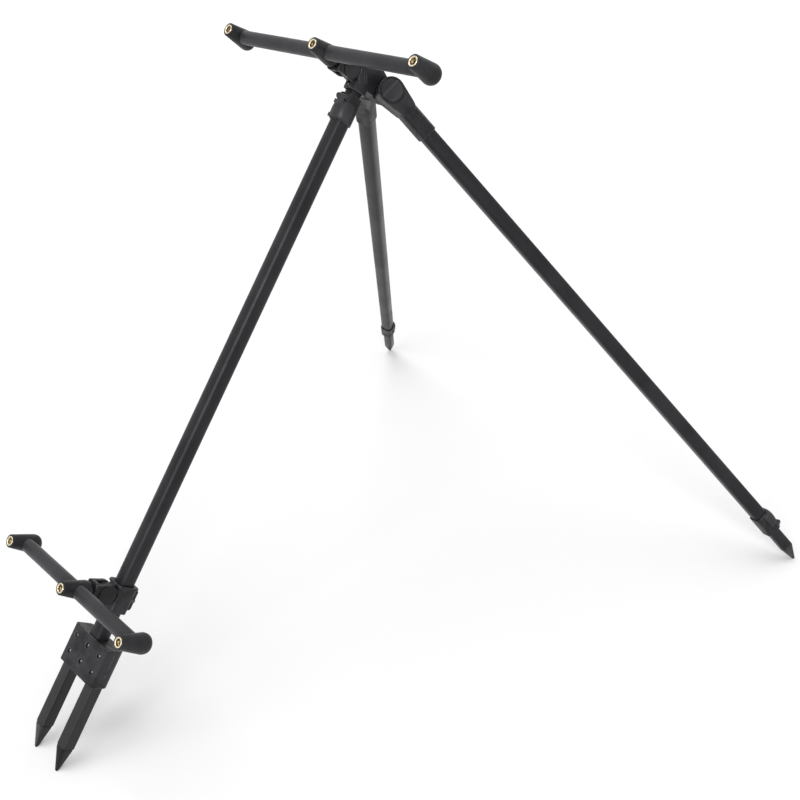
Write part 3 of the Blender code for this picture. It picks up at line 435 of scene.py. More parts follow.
def mergedShape(nodeName):
    shape = bmesh.new()
    shape.from_mesh(nodes[nodeName].data)
    bmesh.ops.remove_doubles(shape, verts=shape.verts[:], dist=edgeValues["merge"])
    bmesh.ops.dissolve_limit(shape, angle_limit=math.radians(edgeValues["flat"]), verts=shape.verts[:],
                             edges=shape.edges[:])
    return shape


def brokenEdges(nodeName, width, steps):  # a narrower bevel is tried where a wide one would spoil the shape
    whole = mergedShape(nodeName)
    volume = whole.calc_volume()
    whole.free()
    sharpAngle = math.radians(edgeValues["sharp"])
    for share in edgeValues["shares"]:
        shape = mergedShape(nodeName)
        wear = shape.faces.layers.float.new("edgeWear")
        edges = [edge for edge in shape.edges if edge.is_manifold and edge.is_convex
                 and edge.calc_face_angle(0.0) > sharpAngle]
        if share and edges:
            made = bmesh.ops.bevel(shape, geom=edges, offset=width * share, segments=steps, profile=0.5,
                                   affect="EDGES", clamp_overlap=False, offset_type="OFFSET")
            for face in made["faces"]:
                face[wear] = 1.0
        bmesh.ops.triangulate(shape, faces=[face for face in shape.faces if len(face.verts) > 4])
        kept = shape.calc_volume() / volume
        if not share or edgeValues["leastVolume"] < kept < edgeValues["mostVolume"]:
            return shape, share
        shape.free()


def softPiece(nodeName, name, body, finish, place, width, steps=edgeValues["steps"]):
    shape, share = brokenEdges(nodeName, width, steps)
    piece = showPiece(name, meshOf(shape, name), body, place, [nodeName], finish, edgeValues["smooth"])
    even = piece.modifiers.new("evenNormals", "WEIGHTED_NORMAL")
    even.keep_sharp = True
    if share < 1.0:
        print("  edges at share", share, "on", name)
    return piece


def skinned(shape, pairs):  # faces between neighbouring rings, where a ring of one point is a tip
    for lower, upper in pairs:
        count = max(len(lower), len(upper))
        for k in range(count):
            after = (k + 1) % count
            if len(lower) == 1:
                shape.faces.new((lower[0], upper[after], upper[k]))
            elif len(upper) == 1:
                shape.faces.new((lower[k], lower[after], upper[0]))
            else:
                shape.faces.new((lower[k], lower[after], upper[after], upper[k]))
    bmesh.ops.recalc_face_normals(shape, faces=shape.faces[:])
    return shape


def latheShape(profile, place, steps, ring=False):  # radius and height along the place's third axis
    shape = bmesh.new()
    turns = [2 * math.pi * k / steps for k in range(steps)]
    rings = []
    for radius, height in profile:
        around = turns if radius > 1e-6 else turns[:1]
        spots = [Vector((radius * math.cos(turn), radius * math.sin(turn), height)) for turn in around]
        rings.append([shape.verts.new(place @ spot) for spot in spots])
    pairs = list(zip(rings, rings[1:]))
    if ring:
        pairs.append((rings[-1], rings[0]))
    return skinned(shape, pairs)


def loftShape(sections, place):  # closed outlines of the same number of points, capped at both ends
    shape = bmesh.new()
    rings = [[shape.verts.new(place @ Vector(spot)) for spot in section] for section in sections]
    ends = [shape.faces.new(rings[0]), shape.faces.new(rings[-1])]
    skinned(shape, zip(rings, rings[1:]))
    bmesh.ops.triangulate(shape, faces=ends)
    return shape


def finalMesh(holder, change):  # the mesh as the modifier leaves it
    bpy.context.view_layer.update()
    depsgraph = bpy.context.evaluated_depsgraph_get()
    mesh = bpy.data.meshes.new_from_object(holder.evaluated_get(depsgraph))
    holder.modifiers.remove(change)
    bpy.data.objects.remove(holder)
    return mesh


def cutMesh(mesh, cutter):
    whole = inScene("whole", mesh)
    tool = inScene("tool", cutter)
    change = whole.modifiers.new("cut", "BOOLEAN")
    change.operation = "DIFFERENCE"
    change.object = tool
    result = finalMesh(whole, change)
    bpy.data.objects.remove(tool)
    return result


def quarterRound(steps):
    return [math.pi / 2 * step / steps for step in range(steps + 1)]


def roundedRim(radius, top, size, steps=4):  # profile points from the outer wall over to the flat top
    return [(radius - size * (1 - math.cos(turn)), top - size * (1 - math.sin(turn)))
            for turn in quarterRound(steps)]


# Geometry Nodes: a swept outline is the root of tubes, bars, ribs and screw slots
def geometryTree(name, sockets):
    tree = bpy.data.node_groups.new(name, "GeometryNodeTree")
    tree.interface.new_socket("Geometry", in_out="INPUT", socket_type="NodeSocketGeometry")
    for label, value in {**sockets, "Turn": "Rotation", "Finish": "Material"}.items():
        kind = {float: "Float", int: "Int", tuple: "Vector", str: value}[type(value)]
        socket = tree.interface.new_socket(label, in_out="INPUT", socket_type="NodeSocket" + kind)
        if kind != value:
            socket.default_value = value
    tree.interface.new_socket("Geometry", in_out="OUTPUT", socket_type="NodeSocketGeometry")
    return tree, tree.nodes.new("NodeGroupInput").outputs


def closeTree(tree, geometry, enter):
    real = addNode(tree, "GeometryNodeRealizeInstances", Geometry=geometry)
    dressed = addNode(tree, "GeometryNodeSetMaterial", Geometry=real.outputs["Geometry"],
                      Material=enter["Finish"])
    leave = tree.nodes.new("NodeGroupOutput")
    tree.links.new(dressed.outputs["Geometry"], leave.inputs["Geometry"])
    return tree


def sweptStick(tree, outline, low, high):
    bottom = addNode(tree, "ShaderNodeCombineXYZ", Z=low)
    top = addNode(tree, "ShaderNodeCombineXYZ", Z=high)
    path = addNode(tree, "GeometryNodeCurvePrimitiveLine", Start=bottom.outputs[0], End=top.outputs[0])
    sweep = addNode(tree, "GeometryNodeCurveToMesh", Curve=path.outputs["Curve"], Profile_Curve=outline,
                    Fill_Caps=True)
    return sweep.outputs["Mesh"]


def roundedStick(tree, width, height, corner, steps, low, high):
    outline = addNode(tree, "GeometryNodeCurvePrimitiveQuadrilateral", Width=width, Height=height)
    rounding = addNode(tree, "GeometryNodeFilletCurve", {"mode": "POLY"}, Curve=outline.outputs["Curve"],
                       Radius=corner, Count=steps, Limit_Radius=True)
    return sweptStick(tree, rounding.outputs["Curve"], low, high)


def circleOf(tree, points, radius):
    circle = addNode(tree, "GeometryNodeCurvePrimitiveCircle", {"mode": "RADIUS"}, Resolution=points,
                     Radius=radius)
    return circle.outputs["Curve"]


def squircle(tree, half, squareness, points):  # 2 gives a circle, 4 to 5 a square tube with swollen faces
    position = tree.nodes.new("GeometryNodeInputPosition").outputs[0]
    spot = addNode(tree, "ShaderNodeSeparateXYZ", Vector=position)
    power = mathNode(tree, "DIVIDE", 2.0, squareness)
    reach = []
    for axis in "XY":
        size = mathNode(tree, "POWER", mathNode(tree, "ABSOLUTE", spot.outputs[axis]), power)
        signed = times(tree, size, mathNode(tree, "SIGN", spot.outputs[axis]))
        reach.append(times(tree, signed, half))
    place = addNode(tree, "ShaderNodeCombineXYZ", X=reach[0], Y=reach[1])
    bent = addNode(tree, "GeometryNodeSetPosition", Geometry=circleOf(tree, points, 1.0),
                   Position=place.outputs[0])
    return bent.outputs["Geometry"]


def cutOut(tree, solid, *rooms):
    cut = addNode(tree, "GeometryNodeMeshBoolean", {"operation": "DIFFERENCE"}, Mesh_1=solid)
    for room in rooms:
        tree.links.new(room, cut.inputs["Mesh 2"])
    return cut.outputs["Mesh"]


def onPoints(tree, enter, instance):
    laid = addNode(tree, "GeometryNodeInstanceOnPoints", Points=enter["Geometry"], Instance=instance,
                   Rotation=enter["Turn"])
    return closeTree(tree, laid.outputs["Instances"], enter)


def makeHollowBarTree():  # the square leg tubes and spikes, and the round cross bars
    tree, enter = geometryTree("hollowBar", {
        "Half": 0.010, "Squareness": 4.5, "Points": 64, "Wall": 0.0013, "Start": 0.0, "End": 0.5,
        "Place": (0.0, 0.0, 0.0)})
    outer = sweptStick(tree, squircle(tree, enter["Half"], enter["Squareness"], enter["Points"]),
                       enter["Start"], enter["End"])
    inside = mathNode(tree, "SUBTRACT", enter["Half"], enter["Wall"])
    past = 0.01  # the hollow runs out of both ends
    hollow = sweptStick(tree, squircle(tree, inside, enter["Squareness"], enter["Points"]),
                        mathNode(tree, "SUBTRACT", enter["Start"], past),
                        mathNode(tree, "ADD", enter["End"], past))
    placed = addNode(tree, "GeometryNodeTransform", Geometry=cutOut(tree, outer, hollow),
                     Translation=enter["Place"], Rotation=enter["Turn"])
    return closeTree(tree, placed.outputs["Geometry"], enter)


def makeThreadTree():  # the raised turns of a female thread, one set on each seed point
    tree, enter = geometryTree("insertThread", {
        "Bore": 0.0042, "Ridge": 0.0007, "Pitch": 0.00127, "Turns": 8.0})
    rise = times(tree, enter["Pitch"], enter["Turns"])
    path = addNode(tree, "GeometryNodeCurveSpiral", Resolution=30, Rotations=enter["Turns"],
                   Start_Radius=enter["Bore"], End_Radius=enter["Bore"], Height=rise)
    ridge = addNode(tree, "GeometryNodeCurveToMesh", Curve=path.outputs["Curve"],
                    Profile_Curve=circleOf(tree, 4, enter["Ridge"]), Fill_Caps=True)
    return onPoints(tree, enter, ridge.outputs["Mesh"])


def makeScrewTree():  # domed heads with a cross recess on a short shank, one on each seed point
    tree, enter = geometryTree("crossScrews", {
        "Head": 0.0026, "Dome": 0.0015, "Shank": 0.0015, "Reach": 0.010, "Slot": 0.0007, "SlotFloor": 0.45,
        "SlotRound": 0.0001})
    ball = addNode(tree, "GeometryNodeMeshUVSphere", Segments=28, Rings=14, Radius=1.0)
    size = addNode(tree, "ShaderNodeCombineXYZ", X=enter["Head"], Y=enter["Head"], Z=enter["Dome"])
    dome = addNode(tree, "GeometryNodeTransform", Geometry=ball.outputs["Mesh"], Scale=size.outputs[0])
    rooms = []
    for wide, high in ((enter["Slot"], enter["Head"]), (enter["Head"], enter["Slot"])):
        rooms.append(roundedStick(tree, wide, high, enter["SlotRound"], 1,
                                  times(tree, enter["Dome"], enter["SlotFloor"]),
                                  times(tree, enter["Dome"], 2.0)))
    head = cutOut(tree, dome.outputs["Geometry"], *rooms)
    shankSide = times(tree, enter["Shank"], 2.0)
    shank = roundedStick(tree, shankSide, shankSide, enter["Shank"], 4,
                         times(tree, enter["Reach"], -1.0), 0.0)
    both = tree.nodes.new("GeometryNodeJoinGeometry")
    tree.links.new(head, both.inputs["Geometry"])
    tree.links.new(shank, both.inputs["Geometry"])
    return onPoints(tree, enter, both.outputs["Geometry"])


def makeRibTree():  # a row of rounded ribs, one on each seed point
    tree, enter = geometryTree("mouldedRibs", {
        "Width": 0.0012, "Height": 0.0012, "Length": 0.010, "Corner": 0.0004})
    half = times(tree, enter["Length"], 0.5)
    rib = roundedStick(tree, enter["Width"], enter["Height"], enter["Corner"], 3,
                       times(tree, half, -1.0), half)
    return onPoints(tree, enter, rib)


hollowBarTree = makeHollowBarTree()
threadTree = makeThreadTree()
screwTree = makeScrewTree()
ribTree = makeRibTree()


def bakedTree(tree, name, values, place, finish, points=()):  # runs a tree and keeps the plain mesh
    seed = bpy.data.meshes.new(name + "Points")
    seed.from_pydata([tuple(point) for point in points], [], [])
    holder = inScene(name + "Source", seed)
    change = holder.modifiers.new("build", "NODES")
    change.node_group = tree
    keys = {item.name: item.identifier for item in tree.interface.items_tree
            if item.item_type == "SOCKET" and item.in_out == "INPUT"}
    given = {**values, "Turn": tuple(place.to_euler()), "Finish": finishes[finish]}
    for label, value in given.items():
        change[keys[label]] = value
    mesh = finalMesh(holder, change)
    mesh.name = name
    return mesh


# Legs, spikes and cross bars
tubeValues = {"points": 72, "wall": 0.0013, "leg": 4.4, "spike": 6.5}


def squareTube(nodeName, name, body, place, finish, squareness):
    low, high = localBox(nodeName, place)
    middle = centred(place, low, high)
    mesh = bakedTree(hollowBarTree, name, {
        "Half": (high.x - low.x) / 2, "Squareness": squareness, "Points": tubeValues["points"],
        "Wall": tubeValues["wall"], "Start": low.z, "End": high.z, "Place": tuple(middle.translation)},
        middle, finish)
    return showPiece(name, mesh, body, middle, [nodeName])


def legTube(nodeName, name, body, place):
    return squareTube(nodeName, name, body, place, "tubePaint", tubeValues["leg"])


legTube("front_outer_tube", "frontOuterTube", "front_leg", headPlace)
legTube("front_inner_tube", "frontInnerTube", "head", headPlace)
for side in ("left", "right"):
    squareTube(f"fork_spike_{side}", f"{side}Spike", "front_leg", headPlace, "spikePaint",
               tubeValues["spike"])
    legTube(f"{side}_outer_tube", f"{side}OuterTube", f"{side}_leg", legPlace[side])
    legTube(f"{side}_inner_tube", f"{side}InnerTube", f"{side}_spike", legPlace[side])
print("square tubes made")

barValues = {"points": 48, "wall": 0.0014, "round": 2.0}


def crossBar(nodeName, name, body, place):  # a bar's own length runs along the place's third axis
    lying = turned(place, 90, "Y")
    low, high = localBox(nodeName, lying)
    middle = centred(lying, low, high)
    mesh = bakedTree(hollowBarTree, name, {
        "Half": (high.y - low.y) / 2, "Squareness": barValues["round"], "Points": barValues["points"],
        "Wall": barValues["wall"], "Start": low.z, "End": high.z, "Place": tuple(middle.translation)},
        middle, "barPaint")
    return showPiece(name, mesh, body, lying, [nodeName])


crossBar("top_bar", "topBar", "top_bar_set", barPlace["top"])
crossBar("butt_bar", "buttBar", "butt_bar_set", barPlace["butt"])
print("cross bars made")

# Rod rest holders: tapered, round-footed, with a lip round the brass
holderValues = {"footShare": 0.58, "footRound": 0.0090, "mouthShare": 0.69, "lip": 0.0015,
                "insertRadius": 0.0063, "insertDepth": 0.0123, "gap": 0.0003, "reach": 0.026,
                "steps": 72, "roundSteps": 9, "boreSteps": 64, "smooth": 40.0}


def makeHolder(prefix, side, place):
    values = holderValues
    nodeName = f"{prefix}_holder_{side}"
    upright = turned(place, -90, "X")
    low, high = localBox(nodeName, upright)
    belly = (high.y - low.y) / 2
    foot = belly * values["footShare"]
    mouth = belly * values["mouthShare"]
    room = values["insertRadius"] + values["gap"]
    footRound = values["footRound"]
    profile = [(0.0, high.z - values["insertDepth"]), (room, high.z - values["insertDepth"]), (room, high.z)]
    profile += roundedRim(mouth, high.z, values["lip"])[::-1]
    profile.append((belly, low.z + footRound))
    for turn in quarterRound(values["roundSteps"])[1:]:
        profile.append((foot + (belly - foot) * math.cos(turn), low.z + footRound * (1 - math.sin(turn))))
    profile.append((0.0, low.z))
    name = f"{prefix}Holder{side.title()}"
    mesh = meshOf(latheShape(profile, centred(upright, low, high), values["steps"]), name)
    barLow, barHigh = localBox(prefix + "_bar", place)
    middle = (low.x + high.x) / 2
    start = max(barLow.x - values["gap"], middle - values["reach"])
    end = min(barHigh.x + values["gap"], middle + values["reach"])
    bore = (barHigh.y - barLow.y) / 2 + values["gap"]
    lying = turned(shifted(place, 0.0, (barLow.y + barHigh.y) / 2), 90, "Y")
    rod = latheShape([(0.0, start), (bore, start), (bore, end), (0.0, end)], lying, values["boreSteps"])
    mesh = cutMesh(mesh, meshOf(rod, "barBore"))
    return showPiece(name, mesh, prefix + "_bar_set", upright, [nodeName],
                     "holderPlastic", values["smooth"])


# Brass inserts with a bevelled rim, and their threads from the tree
insertValues = {"bore": 0.0042, "rim": 0.0005, "ridge": 0.00075, "ridgeOut": 0.3, "pitch": 0.00127,
                "turns": 7.5, "threadStart": 0.0012, "near": 0.0001, "steps": 56, "smooth": 50.0}


def makeInserts(prefix, place):
    values = insertValues
    bore = values["bore"]
    upright = turned(place, -90, "X")
    starts = []
    for side in ("left", "middle", "right"):
        nodeName = f"{prefix}_insert_{side}"
        low, high = localBox(nodeName, upright)
        radius = (high.y - low.y) / 2
        centre = centred(upright, low, high)
        profile = [(radius, low.z)] + roundedRim(radius, high.z, values["rim"])
        profile += [(bore + values["rim"], high.z), (bore, high.z - values["rim"]), (bore, low.z)]
        name = f"{prefix}Insert{side.title()}"
        mesh = meshOf(latheShape(profile, centre, values["steps"], ring=True), name)
        # the bore's wall is cut, not polished, and its brass is painted dark as shade inside the bore
        twoTone(mesh, centre, "turnedBrass", "cutShadedBrass", lambda reach: reach < bore + values["near"])
        showPiece(name, mesh, prefix + "_bar_set", centre, [nodeName], None,
                  values["smooth"])
        starts.append(centre @ Vector((0.0, 0.0, low.z + values["threadStart"])))
    # the threads take the same brass, painted dark as shade deep in the bore
    threads = bakedTree(threadTree, prefix + "InsertThreads", {
        "Bore": bore + values["ridge"] * values["ridgeOut"], "Ridge": values["ridge"],
        "Pitch": values["pitch"], "Turns": values["turns"]}, upright, "cutShadedBrass", starts)
    showPiece(prefix + "InsertThreads", threads, prefix + "_bar_set", upright)


for prefix in ("top", "butt"):
    for side in ("left", "middle", "right"):
        makeHolder(prefix, side, barPlace[prefix])
    makeInserts(prefix, barPlace[prefix])
print("holders and inserts made")

# Fork screws: small bright domes, deep in their counterbores
screwValues = {"count": 6, "head": 0.0017, "dome": 0.0009, "slot": 0.0005, "slotFloor": 0.45,
               "slotRound": 0.0001, "shank": 0.0011, "reach": 0.0095, "sunk": 0.0019}


def makeForkScrews():
    values = screwValues
    names = [f"fork_screw_{number + 1}" for number in range(values["count"])]
    upright = turned(headPlace, -90, "X")
    seats = []
    for nodeName in names:
        low, high = localBox(nodeName, upright)
        seats.append(centred(upright, low, high) @ Vector((0.0, 0.0, high.z - values["sunk"])))
    mesh = bakedTree(screwTree, "forkScrews", {
        "Head": values["head"], "Dome": values["dome"], "Slot": values["slot"],
        "SlotFloor": values["slotFloor"], "SlotRound": values["slotRound"], "Shank": values["shank"],
        "Reach": values["reach"]}, upright, "platedSteel", seats)
    showPiece("forkScrews", mesh, "front_leg", upright, names)


makeForkScrews()
print("fork screws made")

# Round hinge caps: a shallow dome inside a groove and a raised rim, on a flange over the plug
capValues = {"flange": 0.0017, "seam": 0.0003, "proud": 0.0006, "rim": 0.0009, "groove": 0.0014,
             "dome": 0.0002, "domeSteps": 6, "edge": 0.0004, "streak": 91.0, "steps": 80, "smooth": 24.0}


def makeHingeCap(side):
    values = capValues
    nodeName = side + "_hinge_cap"
    place = legPlace[side]
    low, high = localBox(nodeName, place)
    outward = high.x if abs(high.x) > abs(low.x) else low.x
    inward = low.x if outward == high.x else high.x
    facing = turned(place, 90 if outward > inward else -90, "Y")
    base = abs(inward)
    top = base + abs(outward - inward)
    plug = (high.y - low.y) / 2
    radius = plug + values["flange"]
    seat = top - values["proud"] + values["seam"]
    inRim = radius - values["rim"]
    flat = inRim - values["groove"]
    profile = [(0.0, base), (plug, base), (plug, seat), (radius, seat)]
    profile += roundedRim(radius, top, values["edge"])
    profile += [(inRim, top), (inRim - values["groove"] / 2, top - values["proud"])]
    for step in range(values["domeSteps"] + 1):
        left = 1 - step / values["domeSteps"]
        profile.append((flat * left, top - values["dome"] * left ** 2))
    mesh = meshOf(latheShape(profile, facing, values["steps"]), side + "HingeCap")
    # painted shade: dark in the groove and on the outer wall, where shade falls round the cap
    twoTone(mesh, facing, "capPlastic", "seamShadePlastic",
            lambda reach: flat < reach < inRim or reach > radius - values["edge"])
    # turns the painted highlight streaks across the cap
    spun = turned(facing, values["streak"], "Z")
    showPiece(side + "HingeCap", mesh, side + "_leg", spun, [nodeName], None,
              values["smooth"])


makeHingeCap("left")
makeHingeCap("right")
print("hinge caps made")

# Lock levers: a thin arched shell whose skirts wrap the collar, on its cam
leverValues = {"half": 0.01375, "inside": 0.01245, "pinHeight": 0.01335, "edge": 0.0019, "arch": 0.0016,
               "hem": 0.0010, "outerSquareness": 3.0, "innerSquareness": 4.4, "stations": 20, "points": 22,
               "endRound": 0.0012, "endRise": 3, "sideEase": 0.6, "topEase": 0.5, "start": 0.0050,
               "camRadius": 0.0036, "camOffset": 0.0008, "camHalf": 0.0054, "camSteps": 40,
               "neckShare": 0.8, "neckLap": 0.001, "bossRadius": 0.0021, "bossLength": 0.0046,
               "bossSide": -0.0098, "bossHeight": -0.0010, "bossSteps": 24, "dimple": 0.0005,
               "dimpleShare": 0.5, "smooth": 36.0}


def archOutline(half, height, squareness, count):
    outline = []
    for step in range(count + 1):
        turn = math.pi * step / count
        across = abs(math.cos(turn)) ** (2 / squareness) * (1 if turn < math.pi / 2 else -1)
        outline.append((half * across, height * max(math.sin(turn), 0.0) ** (2 / squareness)))
    return outline


def leverSection(share, height, values):  # an arch round the collar's outer half, from hem to hem
    swell = math.sin(math.pi * share)
    ease = values["endRound"] * (1 - min(1.0, swell * values["endRise"])) ** 2
    half = values["half"] - ease * values["sideEase"]
    inside = values["inside"]
    top = inside + values["edge"] + values["arch"] * swell - ease * values["topEase"]
    outer = archOutline(half, top, values["outerSquareness"], values["points"])
    inner = archOutline(inside, inside, values["innerSquareness"], values["points"])
    hem = -values["hem"]
    outline = [(half, hem)] + outer + [(-half, hem), (-inside, hem)] + inner[::-1] + [(inside, hem)]
    return [(first, second - values["pinHeight"], height) for first, second in outline]


def makeLever(prefix):
    values = leverValues
    nodeName = prefix + "_lock_lever"
    place = leverPlace[prefix]
    low, high = localBox(nodeName, place)
    start = values["start"]
    sections = []
    for station in range(values["stations"] + 1):
        share = station / values["stations"]
        sections.append(leverSection(share, start + (high.z - start) * share, values))
    shape = loftShape(sections, place)
    radius, half = values["camRadius"], values["camHalf"]
    across = turned(shifted(place, 0.0, -values["camOffset"]), 90, "Y")
    cam = [(0.0, -half), (radius, -half), (radius, half), (0.0, half)]
    shape.from_mesh(meshOf(latheShape(cam, across, values["camSteps"]), "cam"))
    under = values["inside"] - values["pinHeight"]
    lapped = start + values["neckLap"]
    neck = [(under, 0.0), (radius - values["camOffset"], 0.0),
            (under + values["edge"] * values["neckShare"], lapped), (under, lapped)]
    link = [[(end * half, first, second) for first, second in neck] for end in (-1, 1)]
    shape.from_mesh(meshOf(loftShape(link, place), "neck"))
    radius, reach = values["bossRadius"], values["bossLength"]
    dimple = radius * values["dimpleShare"]
    boss = [(0.0, values["dimple"]), (dimple, 0.0), (radius, 0.0), (radius, reach), (dimple, reach),
            (0.0, reach - values["dimple"])]
    for foot in (start, high.z - reach):  # two round bosses, with a dimple at each end
        spot = shifted(place, values["bossSide"], values["bossHeight"], foot)
        shape.from_mesh(meshOf(latheShape(boss, spot, values["bossSteps"]), "boss"))
    return showPiece(prefix + "LockLever", meshOf(shape, prefix + "LockLever"), prefix + "_lever",
                     place, [nodeName], "leverPlastic", values["smooth"])


for prefix in ("front", "left", "right"):
    makeLever(prefix)
print("levers made")

# Round discs on the outer sides of the tilting ears
discValues = {"radius": 0.0129, "seat": 0.0100, "top": 0.0116, "edge": 0.0006, "dish": 0.0003,
              "rimShare": 0.86, "dishShare": 0.82, "edgeSteps": 5, "steps": 64, "smooth": 30.0}


def makeEarDiscs(prefix):
    values = discValues
    radius, top = values["radius"], values["top"]
    profile = [(0.0, values["seat"]), (radius, values["seat"])]
    profile += roundedRim(radius, top, values["edge"], values["edgeSteps"])
    profile += [(radius * values["rimShare"], top), (radius * values["dishShare"], top - values["dish"]),
                (0.0, top - values["dish"])]
    shape = bmesh.new()
    for turn in (90, -90):
        facing = turned(barPlace[prefix], turn, "Y")
        shape.from_mesh(meshOf(latheShape(profile, facing, values["steps"]), "disc"))
    showPiece(prefix + "EarDiscs", meshOf(shape, prefix + "EarDiscs"), prefix + "_bar_set",
              barPlace[prefix], (), "mouldedPlastic", values["smooth"])


makeEarDiscs("top")
makeEarDiscs("butt")
print("ear discs made")

# Moulded ribs on the head's cheeks and the clamp, upright when the tripod stands
ribValues = {
    "head": {"width": 0.0014, "proud": 0.0012, "length": 0.019, "corner": 0.0005, "body": "head",
             "spots": [(0.0120, -0.0159, -0.0077), (0.0120, -0.0186, -0.0092)]},
    "clamp": {"width": 0.0013, "proud": 0.0012, "length": 0.012, "corner": 0.0005, "body": "butt_clamp",
              "spots": [(0.0138, -0.0140, -0.0140), (0.0138, -0.0180, -0.0120)]},
}


def makeRibs(prefix, place):
    values = ribValues[prefix]
    upright = placeAt((0.0, 0.0, 0.0), (0.0, 0.0, -1.0), (0.0, -1.0, 0.0))
    down = Vector((0.0, 0.0, -values["length"] / 2))
    spots = [place @ Vector(spot) + down for spot in values["spots"]]
    # the ribs take the lighter lever plastic, a painted highlight along the raised ribs
    mesh = bakedTree(ribTree, prefix + "Ribs", {
        "Width": values["proud"], "Height": values["width"], "Length": values["length"],
        "Corner": values["corner"]}, upright, "leverPlastic", spots)
    showPiece(prefix + "Ribs", mesh, values["body"], place)


makeRibs("head", headPlace)
makeRibs("clamp", clampPlace)
print("ribs made")


# Other moulded pieces and small metal parts keep the CAD shape with broken edges
def mouldedPiece(nodeName, name, body, place, width, steps=edgeValues["blockSteps"]):
    softPiece(nodeName, name, body, "mouldedPlastic", place, edgeValues[width], steps)


def metalPiece(nodeName, name, body, place):
    softPiece(nodeName, name, body, "darkSteel", place, edgeValues["metal"])


def footPiece(nodeName, name, body, place, finish):
    softPiece(nodeName, name, body, finish, place, edgeValues["tip"])


mouldedPiece("head_body", "headBody", "head", headPlace, "head")
metalPiece("head_leg_screw", "legScrew", "head", headPlace)
metalPiece("top_tilt_pin", "topTiltPin", "head", headPlace)
mouldedPiece("top_bracket", "topBracket", "top_bar_set", barPlace["top"], "block")
mouldedPiece("butt_bracket", "buttBracket", "butt_bar_set", barPlace["butt"], "block")
mouldedPiece("butt_clamp", "buttClamp", "butt_clamp", clampPlace, "block")
metalPiece("butt_pinch_bolt", "pinchBolt", "butt_clamp", clampPlace)
metalPiece("butt_tilt_pin", "buttTiltPin", "butt_clamp", clampPlace)
mouldedPiece("fork_front", "forkFront", "front_leg", headPlace, "block")
mouldedPiece("fork_back", "forkBack", "front_leg", headPlace, "block")
for side in ("left", "right"):
    footPiece(f"fork_tip_{side}", f"{side}ForkTip", "front_leg", headPlace, "tubePaint")
    footPiece(f"{side}_foot_tip", f"{side}FootTip", f"{side}_spike", legPlace[side], "footPlastic")
    mouldedPiece(f"{side}_knuckle", f"{side}Knuckle", f"{side}_leg", legPlace[side], "knuckle")
    metalPiece(f"{side}_hinge_bolt", f"{side}HingeBolt", "head", legPlace[side])
for prefix, place in (("front", headPlace), ("left", legPlace["left"]), ("right", legPlace["right"])):
    mouldedPiece(f"{prefix}_lock_collar", f"{prefix}LockCollar", f"{prefix}_leg", place, "collar",
                 edgeValues["steps"])
    metalPiece(f"{prefix}_lock_pin", f"{prefix}LockPin", f"{prefix}_leg", place)
print("moulded pieces made")

# Floor, light and camera
stageValues = {"floorSize": 30.0, "floorTone": 0.74, "floorMottle": 0.005, "floorRough": 0.9,
               "whiteGlow": 0.06, "worldStrength": 0.62,
               "overhead": {"strength": 1.15, "softness": 38.0, "from": (-0.22, -0.12, 1.0)},
               "frontWindow": {"strength": 1.15, "softness": 34.0, "from": (0.30, -0.76, 0.58)},
               "sideWindow": {"strength": 0.95, "softness": 20.0, "from": (0.70, -0.56, 0.45)}}


def backdropRays(tree):  # rays that should see plain white: from the camera, mirrored or through glass
    rays = tree.nodes.new("ShaderNodeLightPath")
    bounced = mathNode(tree, "MAXIMUM", rays.outputs["Is Glossy Ray"], rays.outputs["Is Transmission Ray"])
    return mathNode(tree, "MAXIMUM", rays.outputs["Is Camera Ray"], bounced)


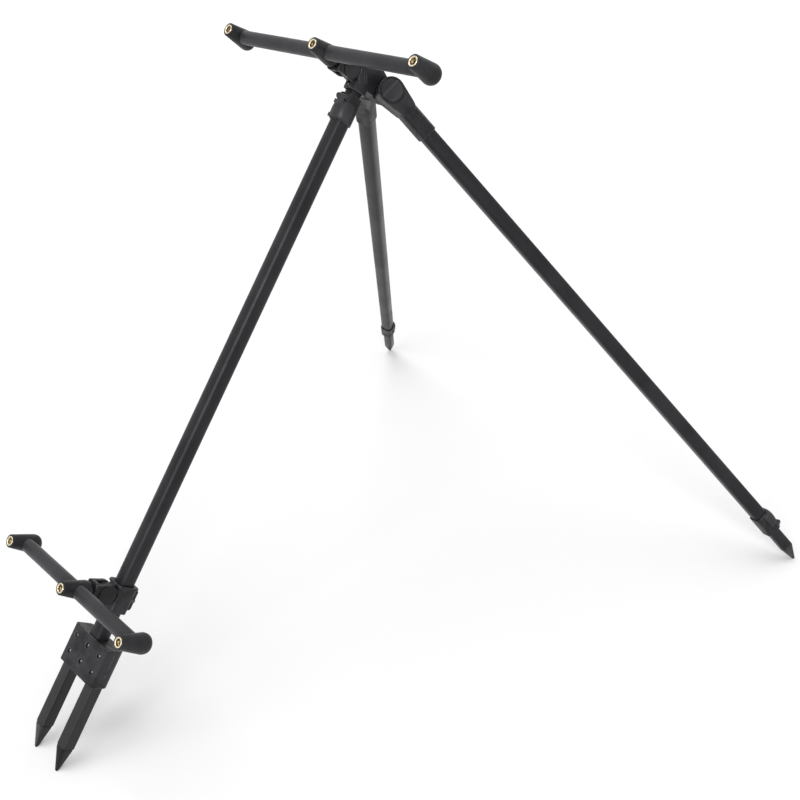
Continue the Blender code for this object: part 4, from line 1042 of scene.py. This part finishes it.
def makeFloor():
    size = stageValues["floorSize"]
    mesh = bpy.data.meshes.new("floor")
    corners = [(-size, -size, 0), (size, -size, 0), (size, size, 0), (-size, size, 0)]
    mesh.from_pydata(corners, [], [(0, 1, 2, 3)])
    floor = inScene("floor", mesh)
    material, tree, shader = startMaterial("paleFloor")
    tone, mottle = stageValues["floorTone"], stageValues["floorMottle"]
    speckle = addNode(tree, "ShaderNodeTexNoise", Vector=objectCoords(tree), Scale=3.0, Detail=3.0)
    color = mixColor(tree, speckle.outputs["Fac"], (tone - mottle,) * 3, (tone + mottle,) * 3)
    tree.links.new(color, shader.inputs["Base Color"])
    shader.inputs["Roughness"].default_value = stageValues["floorRough"]
    shader.inputs["Specular IOR Level"].default_value = 0.0
    shader.inputs["Emission Color"].default_value = (1.0, 1.0, 1.0, 1.0)
    glow = times(tree, backdropRays(tree), stageValues["whiteGlow"])
    tree.links.new(glow, shader.inputs["Emission Strength"])
    mesh.materials.append(material)


def makeWorld():
    world = bpy.data.worlds.new("studio")
    bpy.context.scene.world = world
    world.use_nodes = True
    tree = world.node_tree
    tree.nodes.clear()
    strength = spreadTo(tree, backdropRays(tree), stageValues["worldStrength"], 1.0)
    shell = addNode(tree, "ShaderNodeBackground", Color=(1.0, 1.0, 1.0, 1.0), Strength=strength)
    leave = tree.nodes.new("ShaderNodeOutputWorld")
    tree.links.new(shell.outputs[0], leave.inputs["Surface"])


def makeLamp(name):
    values = stageValues[name]
    lamp = bpy.data.lights.new(name, "SUN")
    lamp.energy = values["strength"]
    lamp.angle = math.radians(values["softness"])
    sun = inScene(name, lamp)
    sun.rotation_euler = Vector(values["from"]).to_track_quat("Z", "Y").to_euler()


cameraValues = {"focalPixels": 1005.02, "width": 800, "sensor": 36.0, "azimuth": 46.93938,
                "elevation": 29.95455, "roll": -0.0424, "place": (0.963838, -0.798050, 1.006915),
                "near": 0.05, "far": 200.0}


def makeCamera():
    values = cameraValues
    data = bpy.data.cameras.new("camera")
    data.sensor_width = values["sensor"]
    data.lens = values["focalPixels"] * values["sensor"] / values["width"]
    data.clip_start = values["near"]
    data.clip_end = values["far"]
    turn = math.radians(values["azimuth"])
    tilt = math.radians(values["elevation"])
    back = Vector((math.sin(turn) * math.cos(tilt), -math.cos(turn) * math.cos(tilt), math.sin(tilt)))
    level = (-back).cross(Vector((0.0, 0.0, 1.0))).normalized()
    upright = level.cross(-back)
    roll = values["roll"]
    right = level * math.cos(roll) + upright * math.sin(roll)
    up = upright * math.cos(roll) - level * math.sin(roll)
    turning = Matrix((right, up, back)).transposed().to_4x4()
    camera = inScene("camera", data)
    camera.matrix_world = Matrix.Translation(values["place"]) @ turning
    bpy.context.scene.camera = camera


makeFloor()
makeWorld()
for name in ("overhead", "frontWindow", "sideWindow"):
    makeLamp(name)
makeCamera()
bpy.context.scene.view_settings.view_transform = "Standard"
print("floor, light and camera made")
